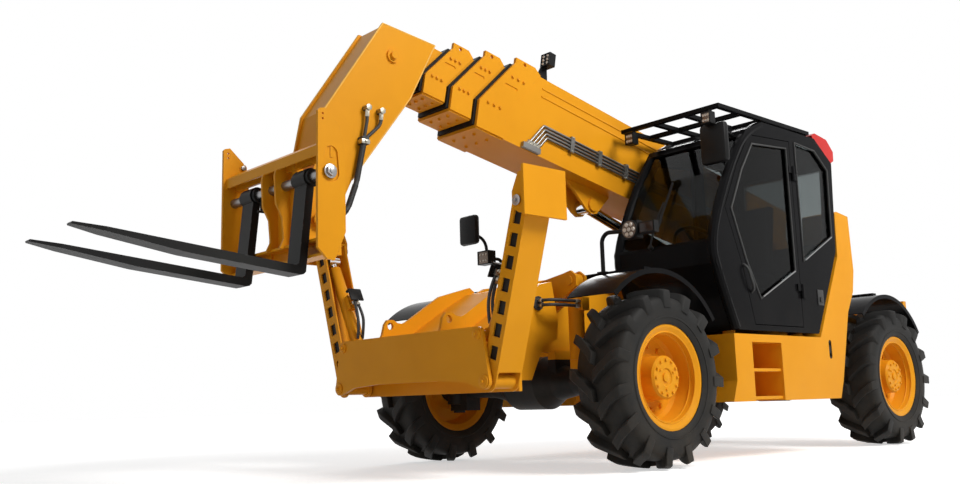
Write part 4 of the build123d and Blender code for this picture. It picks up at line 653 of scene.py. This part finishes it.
def carriage_fittings():
    """Nuts on the fork shaft's ends, collars and latches at the fork eyes, and the tilt pin's keepers."""
    low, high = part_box("fork_shaft")
    x, z = (low[0] + high[0]) / 2, (low[2] + high[2]) / 2
    bm = bmesh.new()
    for side, y in ((1, high[1]), (-1, low[1])):
        add_pin(bm, (x, y, z), (0, side, 0), -0.014, -0.006, 0.042, 40, soft=0.002)
        add_pin(bm, (x, y, z), (0, side, 0), -0.007, 0.012, 0.033, 6, soft=0.004)
        add_pin(bm, (x, y, z), (0, side, 0), 0.011, 0.018, 0.018, 24, soft=0.002)
    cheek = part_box("carriage")[0][1]
    add_pin(bm, (x - 0.058, cheek, z + 0.245), (0, 1, 0), -0.002, 0.046, 0.017, 24, soft=0.002)
    add_piece("shaft_nuts", bm, "fork_carriage", BARE_STEEL)
    bm = bmesh.new()
    for node in ("fork_left", "fork_right"):
        edge_low, edge_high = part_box(node)
        for y in (edge_low[1] - 0.013, edge_high[1] + 0.013):
            add_pin(bm, (x, y, z), (0, 1, 0), -0.012, 0.012, 0.047, 40, soft=0.003)
        latch_y = edge_low[1] - 0.030 if node == "fork_left" else edge_high[1] + 0.030
        add_pin(bm, (x - 0.008, latch_y, z), (0, 0, -1), 0.030, 0.105, 0.009, 16)
        add_pin(bm, (x - 0.008, latch_y, z - 0.105), (1, 0, 0), -0.026, 0.026, 0.008, 16)
    add_piece("fork_collars", bm, "fork_carriage", FORK_BLACK)
    bm = bmesh.new()
    tilt = joint_place("carriage_tilt")
    for side in (1, -1):
        out = Vector((0, side, 0))
        middle = Vector((tilt.x, 0.0, tilt.z))
        add_pin(bm, middle, out, NECK_HALF, NECK_HALF + 0.010, 0.052, 36, soft=0.003)
        add_bolt(bm, middle + out * (NECK_HALF + 0.010), out, 0.030)
    add_piece("tilt_pin_keepers", bm, "boom_head", YELLOW)


def beam_keepers():
    """Washers and keeper bolts on the pins of the legs and their cylinders."""
    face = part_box("front_beam")[1][0]
    bm = bmesh.new()
    for side in (1, -1):
        for y, z, radius in BEAM_PINS:
            add_pin(bm, (face, side * y, z), (1, 0, 0), -0.011, -0.003, radius, 32, soft=0.002)
            add_bolt(bm, (face, side * y, z), (1, 0, 0), 0.022)
    add_piece("beam_keepers", bm, "chassis", YELLOW)
    for place in ("left", "right"):
        pin = joint_place(f"pad_{place}_tilt")
        bm = bmesh.new()
        for way in (1, -1):
            out = Vector((way, 0, 0))
            add_pin(bm, pin, out, PAD_PIN_HALF - 0.001, PAD_PIN_HALF + 0.006, 0.033, 28, soft=0.002)
            add_bolt(bm, pin + out * (PAD_PIN_HALF + 0.006), out, 0.018)
        add_piece(f"pad_pin_{place}", bm, f"leg_{place}", BARE_STEEL)


def leg_shade_sheets_and_ram_hoses():
    """Black sheets behind the holes of the legs, painted shade for the dark inside of each leg, and hoses
    with their cover on the leg cylinders.
    """
    for place, side in (("left", 1), ("right", -1)):
        pin = joint_place(f"leg_{place}_swing")
        leg = Matrix.Translation(pin) @ Matrix.Rotation(math.radians(-side * LEG_LEAN_DEG), 4, "X")
        bm = bmesh.new()
        # Black sheet and strips behind the holes: painted shade where the leg's inside lies in shadow
        add_box(bm, (SHADE_SHEET_X, -0.044, 0.125), (SHADE_SHEET_X + 0.004, 0.044, 1.100), 0.001)
        for index in range(3):
            z = 0.25 + index * 0.36
            add_box(bm, (SHADE_SHEET_X - 0.006, -0.034, z), (SHADE_SHEET_X + 0.001, 0.034, z + 0.020), 0.001)
        bmesh.ops.transform(bm, matrix=leg, verts=bm.verts)
        add_piece(f"leg_hole_shade_{place}", bm, f"leg_{place}", FRAME_BLACK)

        root = joint_place(f"leg_barrel_{place}_swing")
        along = Vector((0.0, side * 0.456, 0.890))
        inward = Vector((0.0, -side * 0.890, 0.456))

        def spot(x, up, out):
            return root + Vector((x, 0, 0)) + along * up + inward * out

        hoses = bmesh.new()
        metal = bmesh.new()
        cover = bmesh.new()
        for x, up in ((-0.010, 0.328), (0.010, 0.380)):
            add_rod(metal, spot(0, up, 0.090), spot(0, up, 0.108), 0.019, 6, soft=0.001)
            add_rod(metal, spot(0, up, 0.106), spot(x, up - 0.004, 0.128), 0.014, 16, soft=0.002)
            add_rod(metal, spot(x, up + 0.006, 0.124), spot(x, up - 0.034, 0.124), 0.016, 6, soft=0.001)
            line = [spot(x, up - 0.030, 0.124), spot(x * 2, up - 0.120, 0.128)]
            line = line + [spot(x * 2, 0.130, 0.095), spot(x * 2, 0.060, 0.040)]
            add_tube(hoses, line, 0.011, smooth=True)
        turn = Matrix((Vector((1, 0, 0)), along, inward)).transposed().to_4x4()
        add_box(cover, (-0.055, 0.322, 0.136), (0.055, 0.420, 0.148), 0.004)
        add_box(cover, (-0.055, 0.404, 0.106), (0.055, 0.420, 0.146), 0.004)
        bmesh.ops.transform(cover, matrix=Matrix.Translation(root) @ turn, verts=cover.verts)
        add_piece(f"ram_hoses_{place}", hoses, f"leg_barrel_{place}", HOSE)
        add_piece(f"ram_fittings_{place}", metal, f"leg_barrel_{place}", ZINC)
        add_piece(f"ram_cover_{place}", cover, f"leg_barrel_{place}", MOULDED)


def slot_shade_sheet():
    """Black filler in the oblong slot of the side box: painted shade for the dark opening."""
    x, low, high, radius = -1.838, 0.742, 0.846, 0.0225
    inner, outer = 1.180, 1.196
    bm = bmesh.new()
    for z in (low, high):
        add_rod(bm, (x, inner, z), (x, outer, z), radius, 32)
    add_box(bm, (x - radius, inner, low), (x + radius, outer, high))
    add_piece("slot_shade_sheet", bm, "chassis", FRAME_BLACK)


def neck_edge_highlights():
    """Thin tubes along the edges of the neck's two cheeks, in a lighter yellow that paints the highlight
    where these edges catch the light.
    """
    rear = [(1.320, 2.902), (1.543, 2.480), (2.022, 1.854)]
    fore = [(1.766, 2.953), (2.220, 2.283), (2.296, 1.905)]
    top = [(1.320, 2.903), (1.766, 2.954)]
    bm = bmesh.new()
    for side in (1, -1):
        for line in (rear, fore, top):
            add_tube(bm, [(x, side * NECK_HIGHLIGHT_Y, z) for x, z in line], 0.0065)
    add_piece("neck_edge_highlights", bm, "boom_head", EDGE_HIGHLIGHT_YELLOW)


def lift_bands():
    """Two bands on the lift cylinder's barrel, near its base."""
    lean = math.radians(LIFT_LEAN_DEG)
    along = Vector((math.cos(lean), 0.0, math.sin(lean)))
    base = joint_place("lift_barrel_swing")
    bm = bmesh.new()
    for start, end, radius in LIFT_BANDS:
        add_pin(bm, base, along, start, end, radius, 48, soft=0.004)
    add_piece("lift_bands", bm, "lift_barrel", FRAME_BLACK)


carriage_fittings()
beam_keepers()
leg_shade_sheets_and_ram_hoses()
slot_shade_sheet()
neck_edge_highlights()
lift_bands()


# Cab

CAB_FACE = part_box("cab_frame")[1][1] - 0.027
CAB_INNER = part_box("cab_frame")[0][1]
DOOR_WINDOW = [
    (-0.870, 1.150), (-0.715, 1.420), (-0.560, 1.795), (-0.735, 2.110), (-0.900, 2.330), (-1.390, 2.370),
    (-1.390, 1.390),
]
QUARTER = [(-1.530, 1.480), (-2.010, 1.720), (-2.030, 2.280), (-1.840, 2.420), (-1.530, 2.440)]
PILLAR = [
    (-0.562, 0.930), (-0.345, 1.379), (-0.335, 1.540), (-0.415, 1.753), (-0.610, 2.105), (-0.850, 2.425),
    (-1.081, 2.51),
]
# Door handle: place along the machine, stand-off from the cab's face, and height
DOOR_HANDLE = [
    (-0.755, -0.004, 1.190), (-0.748, 0.034, 1.205), (-0.705, 0.036, 1.290), (-0.672, 0.034, 1.375),
    (-0.668, -0.004, 1.390),
]
WIPER_ARM = [(-0.293, 0.660, 1.560), (-0.318, 0.672, 1.660), (-0.352, 0.690, 1.765), (-0.430, 0.705, 1.905)]
WIPER_BLADE = [(-0.350, 0.700, 1.712), (-0.392, 0.704, 1.802), (-0.452, 0.708, 1.908), (-0.548, 0.712, 2.075)]
WIPER_EDGE = [(x - 0.012, y, z - 0.004) for x, y, z in WIPER_BLADE]
SEAL_R = 0.009
# Radius of the light steel lines that paint the highlight on the lower seal edges
SEAL_HIGHLIGHT_R = 0.005
PILLAR_R = 0.036
PILLAR_INSET = 0.030


def on_face(line, stand):
    """Points of a side view, set on the cab's left face."""
    return [(x, CAB_FACE + stand, z) for x, z in line]


def cab_trim():
    """Window seals, light steel lines that paint the highlight along the seals' lower edges, door handle,
    lock plate, rounded pillars and wiper.
    """
    bm = bmesh.new()
    add_tube(bm, on_face(DOOR_WINDOW, 0.001), SEAL_R, closed=True)
    add_tube(bm, [(x, CAB_FACE + stand, z) for x, stand, z in DOOR_HANDLE], 0.010, smooth=True)
    add_piece("door_seal", bm, "door", HOSE)
    bm = bmesh.new()
    # Light steel line along the door seal's lower edge: a painted highlight where the seal catches the light
    add_tube(bm, on_face([(-0.890, 1.164), (-1.375, 1.388)], 0.010), SEAL_HIGHLIGHT_R)
    add_piece("door_seal_highlight", bm, "door", BARE_STEEL)
    bm = bmesh.new()
    add_tube(bm, on_face(QUARTER, 0.001), SEAL_R, closed=True)
    add_box(bm, (-1.790, CAB_FACE - 0.002, 1.140), (-1.700, CAB_FACE + 0.008, 1.265), 0.006)
    add_box(bm, (-1.768, CAB_FACE + 0.006, 1.165), (-1.722, CAB_FACE + 0.020, 1.205), 0.005)
    add_piece("quarter_seal", bm, "chassis", HOSE)
    bm = bmesh.new()
    # Light steel line along the quarter seal's lower edge: a painted highlight where the seal catches the
    # light
    add_tube(bm, on_face([(-1.545, 1.488), (-1.995, 1.713)], 0.010), SEAL_HIGHLIGHT_R)
    add_piece("quarter_seal_highlight", bm, "chassis", BARE_STEEL)
    bm = bmesh.new()
    for y in (CAB_FACE - PILLAR_INSET, CAB_INNER + PILLAR_INSET):
        add_tube(bm, [(x, y, z) for x, z in PILLAR], PILLAR_R, smooth=True)
    add_piece("cab_pillars", bm, "chassis", CAB_BLACK)
    bm = bmesh.new()
    add_rod(bm, (-0.315, 0.660, 1.545), (-0.285, 0.660, 1.560), 0.018, 20, soft=0.003)
    add_tube(bm, WIPER_ARM, 0.007, smooth=True)
    add_tube(bm, WIPER_BLADE, 0.006)
    add_tube(bm, WIPER_EDGE, 0.004)
    add_piece("screen_wiper", bm, "chassis", MOULDED)


# Lowest and highest corner of the left and right mirror, and the lines of their arms
MIRROR_BOXES = (
    ((-0.562, 1.012, 2.135), (-0.490, 1.236, 2.440)),
    ((-0.112, -1.215, 1.800), (-0.046, -1.000, 2.060)),
)
MIRROR_ARMS = (
    [(-0.525, 1.100, 2.400), (-0.640, 1.098, 2.418), (-0.745, 1.095, 2.418), (-0.850, 1.090, 2.400)],
    [(-0.260, -1.090, 1.760), (-0.260, -1.090, 1.890), (-0.090, -1.090, 1.895)],
)
MIRROR_RIM = 0.022
MIRROR_ARM_R = 0.014


def mirrors():
    """Rounded mirror housings on bent arms, with the glass towards the rear."""
    shells = bmesh.new()
    faces = bmesh.new()
    for low, high in MIRROR_BOXES:
        add_box(shells, low, high, 0.030)
        glass_low = (low[0] - 0.002, low[1] + MIRROR_RIM, low[2] + MIRROR_RIM)
        glass_high = (low[0] + 0.006, high[1] - MIRROR_RIM, high[2] - MIRROR_RIM)
        add_box(faces, glass_low, glass_high, 0.002)
    for line in MIRROR_ARMS:
        add_tube(shells, line, MIRROR_ARM_R, smooth=True)
    add_piece("mirror_shells", shells, "chassis", MOULDED, ("mirrors",))
    add_piece("mirror_faces", faces, "chassis", MIRROR)


# Work lamps: place of the face, width and height
WORK_LAMPS = (
    (-0.442, 0.406, 2.471, 0.080, 0.090),
    (-0.442, 1.120, 2.471, 0.080, 0.090),
    (-0.220, -1.090, 1.700, 0.140, 0.120),
)
ROUND_LAMP = Vector((0.300, 0.952, 1.5853))
INDICATOR = ((0.292, 1.032, 1.553), (0.301, 1.142, 1.618))
# Boom lamp in the boom's own frame: face, middle across and up, half width and half height
BOOM_LAMP_S = 3.195
BOOM_LAMP_Y = 0.2015
BOOM_LAMP_T = BOOM_TOP + 0.1625
BOOM_LAMP_HALF = 0.0475
BOOM_LAMP_RISE = 0.0525
BEZEL = 0.008


def add_bezel(bm, x, y, z, half, rise, back, fore):
    """Rectangular frame of four bars round a lamp's face."""
    for side in (1, -1):
        bar_z = z + side * (rise - BEZEL / 2)
        bar_y = y + side * (half - BEZEL / 2)
        add_box(bm, (x - back, y - half, bar_z - BEZEL / 2), (x + fore, y + half, bar_z + BEZEL / 2), 0.002)
        add_box(bm, (x - back, bar_y - BEZEL / 2, z - rise), (x + fore, bar_y + BEZEL / 2, z + rise), 0.002)


def lamp_lenses():
    """Bezels, dishes and light points of the work lamps, and the indicator."""
    bezels = bmesh.new()
    lenses = bmesh.new()
    dishes = bmesh.new()
    ahead = Vector((1.0, 0.0, 0.0))
    for x, y, z, wide, tall in WORK_LAMPS:
        half, rise = wide / 2, tall / 2
        dish_low = (x - 0.001, y - half + 0.007, z - rise + 0.007)
        dish_high = (x + 0.004, y + half - 0.007, z + rise - 0.007)
        add_box(dishes, dish_low, dish_high, 0.002)
        add_bezel(bezels, x, y, z, half, rise, 0.004, 0.009)
        for row in (-1, 1):
            for column in (-1, 0, 1):
                at = Vector((x + 0.003, y + column * wide * 0.26, z + row * tall * 0.22))
                add_rod(lenses, at, at + ahead * 0.006, 0.011, 16, 0.008)
    add_pin(bezels, ROUND_LAMP, ahead, -0.020, 0.012, 0.066, 40, soft=0.004)
    add_pin(dishes, ROUND_LAMP, ahead, 0.010, 0.014, 0.058, 40)
    for index in range(7):
        angle = 2 * math.pi * index / 6
        spread = 0.0 if index == 6 else 0.037
        at = ROUND_LAMP + Vector((0.013, spread * math.cos(angle), spread * math.sin(angle)))
        add_rod(lenses, at, at + ahead * 0.008, 0.015, 20, 0.011)
    add_piece("lamp_bezels", bezels, "chassis", MOULDED)
    add_piece("lamp_dishes", dishes, "chassis", REFLECTOR)
    add_piece("lamp_lenses", lenses, "chassis", LED)
    bm = bmesh.new()
    add_box(bm, *INDICATOR, 0.004)
    add_piece("indicator_lens", bm, "chassis", SMOKED)


def boom_lamp_face():
    """Bezel, cooling fins and light points of the lamp on the boom."""
    s, t = BOOM_LAMP_S, BOOM_LAMP_T
    bm = bmesh.new()
    spots = bmesh.new()
    ahead = BOOM.to_3x3() @ Vector((0.007, 0, 0))
    for row in (-1, 0, 1):
        for column in (-1, 1):
            at = BOOM @ Vector((s, BOOM_LAMP_Y + column * 0.022, t + row * 0.030))
            add_rod(spots, at - ahead * 0.2, at + ahead, 0.012, 16, 0.009)
    add_bezel(bm, s, BOOM_LAMP_Y, t, BOOM_LAMP_HALF, BOOM_LAMP_RISE, 0.004, 0.006)
    for fin in range(5):
        y = 0.166 + fin * 0.0178
        add_box(bm, (s - 0.066, y, t - 0.042), (s - 0.056, y + 0.004, t + 0.042), 0.001)
    bmesh.ops.transform(bm, matrix=BOOM, verts=bm.verts)
    add_piece("boom_lamp_bezel", bm, "boom", MOULDED)
    add_piece("boom_lamp_lenses", spots, "boom", LED)


TAIL_LAMP_Y = 0.70
TAIL_LENS_Z = (1.072, 1.158)
HOOD_LATCH_X = (-1.820, -0.780)
# Hood handle: place along the machine, stand-off from the hood's side, and height
HOOD_HANDLE = [
    (-1.420, 0.004, 0.960), (-1.400, -0.034, 0.965), (-1.200, -0.034, 0.965), (-1.180, 0.004, 0.960),
]


def rear_fittings():
    """Tail lamps and reflectors on the counterweight, latches and a handle on the hood."""
    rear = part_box("tail_weight")[0][0]
    bases = bmesh.new()
    lights = bmesh.new()
    blinkers = bmesh.new()
    for side in (1, -1):
        y = side * TAIL_LAMP_Y
        add_box(bases, (rear - 0.004, y - 0.120, 1.060), (rear + 0.002, y + 0.120, 1.170), 0.002)
        for lens, inner, outer in ((lights, -0.108, 0.030), (blinkers, 0.036, 0.108)):
            first, last = sorted((y + side * inner, y + side * outer))
            lens_low = (rear - 0.010, first, TAIL_LENS_Z[0])
            lens_high = (rear - 0.002, last, TAIL_LENS_Z[1])
            add_box(lens, lens_low, lens_high, 0.003)
        add_rod(lights, (rear + 0.001, y, 0.960), (rear - 0.008, y, 0.960), 0.034, 32, soft=0.002)
    add_piece("tail_lamp_bases", bases, "chassis", MOULDED)
    add_piece("tail_lamps", lights, "chassis", TAIL_RED)
    add_piece("tail_blinkers", blinkers, "chassis", AMBER)
    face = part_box("engine_hood")[0][1]
    bm = bmesh.new()
    for x in HOOD_LATCH_X:
        add_box(bm, (x - 0.045, face - 0.006, 0.930), (x + 0.045, face + 0.002, 1.010), 0.004)
        add_box(bm, (x - 0.026, face - 0.016, 0.945), (x + 0.026, face - 0.004, 0.990), 0.005)
    add_tube(bm, [(x, face + y, z) for x, y, z in HOOD_HANDLE], 0.010, smooth=True)
    add_piece("hood_latches", bm, "hood", MOULDED)


cab_trim()
mirrors()
lamp_lenses()
boom_lamp_face()
rear_fittings()


# Seat

PAD_VOXEL = 0.008
PAD_PRESSURE = 4.0
PAD_FRAMES = 20
PAD_SWELL = 0.014
CHANNEL_Y = (-0.105, 0.105)
CHANNEL_WIDTH = 0.011
CHANNEL_DEPTH = 0.010


def pad_mesh(low, high, lean_deg):
    """Crowned pad between two corners, blown up by a short cloth run, with sewn channels."""
    low, high = Vector(low), Vector(high)
    bm = bmesh.new()
    add_box(bm, low, high, 0.026)
    mesh = bpy.data.meshes.new("pad_start")
    bm.to_mesh(mesh)
    bm.free()
    holder = bpy.data.objects.new("pad_start", mesh)
    scene.collection.objects.link(holder)
    remesh = holder.modifiers.new("remesh", "REMESH")
    remesh.mode = "VOXEL"
    remesh.voxel_size = PAD_VOXEL
    cloth = holder.modifiers.new("cloth", "CLOTH")
    cloth.settings.use_pressure = True
    cloth.settings.uniform_pressure_force = PAD_PRESSURE
    cloth.settings.effector_weights.gravity = 0.0
    for frame_number in range(1, PAD_FRAMES + 1):
        scene.frame_set(frame_number)
    view = bpy.context.evaluated_depsgraph_get()
    swollen = [v.co.copy() for v in holder.evaluated_get(view).to_mesh().vertices]
    for modifier in list(holder.modifiers):
        if modifier.type == "CLOTH":
            holder.modifiers.remove(modifier)
    scene.frame_set(1)
    view = bpy.context.evaluated_depsgraph_get()
    flat = bpy.data.meshes.new_from_object(holder.evaluated_get(view))
    middle = (low + high) / 2
    for vert, place in zip(flat.vertices, swollen):
        move = place - vert.co
        if move.length > PAD_SWELL:
            move = move.normalized() * PAD_SWELL
        vert.co = vert.co + move
        if vert.co.z > middle.z:
            for channel in CHANNEL_Y:
                away = (vert.co.y - middle.y - channel) / CHANNEL_WIDTH
                vert.co.z -= CHANNEL_DEPTH * math.exp(-away * away)
    lean = Matrix.Rotation(math.radians(lean_deg), 4, "Y")
    flat.transform(Matrix.Translation(middle) @ lean @ Matrix.Translation(-middle))
    bpy.data.objects.remove(holder)
    return flat


SEAT_X = -1.300
BELLOWS = 5
BELLOWS_PITCH = 0.042


def seat():
    """Seat of two sewn pads on a pedestal with a slide and a bellows."""
    low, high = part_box("seat")
    y = (low[1] + high[1]) / 2
    base = bmesh.new()
    for bottom, top in ((0.0, 0.050), (0.272, 0.330)):
        plate_low = (SEAT_X - 0.170, y - 0.165, low[2] + bottom)
        plate_high = (SEAT_X + 0.170, y + 0.165, low[2] + top)
        add_box(base, plate_low, plate_high, 0.008)
    for index in range(BELLOWS):
        z = low[2] + 0.060 + index * BELLOWS_PITCH
        spread = 0.150 if index % 2 else 0.132
        add_box(base, (SEAT_X - spread, y - spread, z), (SEAT_X + spread, y + spread, z + 0.038), 0.012)
    add_piece("seat_pedestal", base, "chassis", MOULDED, ("seat",))
    pads = (("seat_cushion", (-1.505, y - 0.235, low[2] + 0.343), (-1.045, y + 0.235, low[2] + 0.437), 0.0),
            ("seat_back", (-1.780, y - 0.225, low[2] + 0.700), (-1.220, y + 0.225, low[2] + 0.776), -98.5))
    for name, start, end, lean in pads:
        mesh = pad_mesh(start, end, lean)
        bm = bmesh.new()
        bm.from_mesh(mesh)
        bpy.data.meshes.remove(mesh)
        piece = add_piece(name, bm, "chassis", SEAT_CLOTH, smooth_deg=80)
        finer = piece.modifiers.new("smooth", "SUBSURF")
        finer.levels = 1
        finer.render_levels = 1


seat()


# Studio

FLOOR_HALF = 60.0
FLOOR_DROP = -0.002
FLOOR_NEAR = 4.5
FLOOR_FAR = 8.0
FLOOR_LIFT = 0.55
SKY_STRENGTH = 0.19
LIGHT_AIM = Vector((0.0, 0.0, 1.2))
# Lamps: name, place, size, power and tint
LAMPS = (
    ("key", (-1.5, 9.0, 8.5), 5.0, 1120.0, (1.0, 0.98, 0.95)),
    ("fill", (9.0, 1.0, 5.0), 7.0, 45.0, (1.0, 0.99, 0.97)),
    ("rim", (-8.0, -7.0, 7.0), 6.0, 420.0, (1.0, 1.0, 1.0)),
)
CAMERA_PLACE = (5.428, 5.028, 0.449)
CAMERA_TURN_DEG = (227.47, 9.48, -1.62)
CAMERA_LENS = 36.18


def seen_rays(tree):
    """One for rays from the camera, off gloss and through glass, so that those see white paper."""
    path = tree.nodes.new("ShaderNodeLightPath")
    direct = math_node(tree, "MAXIMUM", path.outputs["Is Camera Ray"], path.outputs["Is Transmission Ray"])
    return math_node(tree, "MAXIMUM", direct, path.outputs["Is Glossy Ray"])


def add_floor():
    """Pale floor that keeps the shadow near the object and turns to white paper further out."""
    floor_mesh = bmesh.new()
    bmesh.ops.create_grid(floor_mesh, x_segments=1, y_segments=1, size=FLOOR_HALF)
    mesh = bpy.data.meshes.new("floor")
    floor_mesh.to_mesh(mesh)
    floor_mesh.free()
    floor = bpy.data.objects.new("floor", mesh)
    scene.collection.objects.link(floor)
    floor.location.z = FLOOR_DROP
    material = bpy.data.materials.new("pale_floor")
    material.use_nodes = True
    tree = material.node_tree
    shader = tree.nodes["Principled BSDF"]
    shader.inputs["Base Color"].default_value = (0.80, 0.80, 0.80, 1.0)
    shader.inputs["Roughness"].default_value = 0.9
    shader.inputs["Specular IOR Level"].default_value = 0.1
    place = tree.nodes.new("ShaderNodeTexCoord")
    away = tree.nodes.new("ShaderNodeVectorMath")
    away.operation = "LENGTH"
    tree.links.new(place.outputs["Object"], away.inputs[0])
    paper = range_node(tree, away.outputs["Value"], FLOOR_NEAR, FLOOR_FAR, FLOOR_LIFT, 1.0)
    glow = tree.nodes.new("ShaderNodeEmission")
    tree.links.new(math_node(tree, "MULTIPLY", paper, seen_rays(tree)), glow.inputs["Strength"])
    both = tree.nodes.new("ShaderNodeAddShader")
    tree.links.new(shader.outputs[0], both.inputs[0])
    tree.links.new(glow.outputs[0], both.inputs[1])
    tree.links.new(both.outputs[0], tree.nodes["Material Output"].inputs["Surface"])
    mesh.materials.append(material)


def add_light():
    """Even sky that looks white, and three soft lamps."""
    world = bpy.data.worlds.new("studio")
    scene.world = world
    world.use_nodes = True
    tree = world.node_tree
    sky = tree.nodes["Background"]
    sky.inputs["Color"].default_value = (0.96, 0.98, 1.0, 1.0)
    sky.inputs["Strength"].default_value = SKY_STRENGTH
    white = tree.nodes.new("ShaderNodeBackground")
    white.inputs["Color"].default_value = (1.0, 1.0, 1.0, 1.0)
    blend = tree.nodes.new("ShaderNodeMixShader")
    tree.links.new(seen_rays(tree), blend.inputs[0])
    tree.links.new(sky.outputs[0], blend.inputs[1])
    tree.links.new(white.outputs[0], blend.inputs[2])
    tree.links.new(blend.outputs[0], tree.nodes["World Output"].inputs["Surface"])

    for name, place, size, power, tint in LAMPS:
        lamp = bpy.data.lights.new(name, "AREA")
        lamp.shape = "DISK"
        lamp.size = size
        lamp.energy = power
        lamp.color = tint
        holder = bpy.data.objects.new(name, lamp)
        scene.collection.objects.link(holder)
        holder.location = place
        holder.rotation_euler = (LIGHT_AIM - Vector(place)).to_track_quat("-Z", "Y").to_euler()


def add_camera():
    """Camera at the photograph's place, turn and focal length."""
    yaw, pitch, roll = [math.radians(angle) for angle in CAMERA_TURN_DEG]
    look = Vector((math.cos(pitch) * math.cos(yaw), math.cos(pitch) * math.sin(yaw), math.sin(pitch)))
    right = look.cross(Vector((0, 0, 1))).normalized()
    up = right.cross(look)
    tilted = math.cos(roll) * right + math.sin(roll) * up
    up = math.cos(roll) * up - math.sin(roll) * right
    lens = bpy.data.cameras.new("camera")
    lens.sensor_width = 36.0
    lens.lens = CAMERA_LENS
    lens.clip_end = 200.0
    camera = bpy.data.objects.new("camera", lens)
    scene.collection.objects.link(camera)
    turn = Matrix((tilted, up, -look)).transposed().to_4x4()
    camera.matrix_world = Matrix.Translation(CAMERA_PLACE) @ turn
    scene.camera = camera


add_floor()
add_light()
add_camera()
scene.view_settings.view_transform = "Standard"
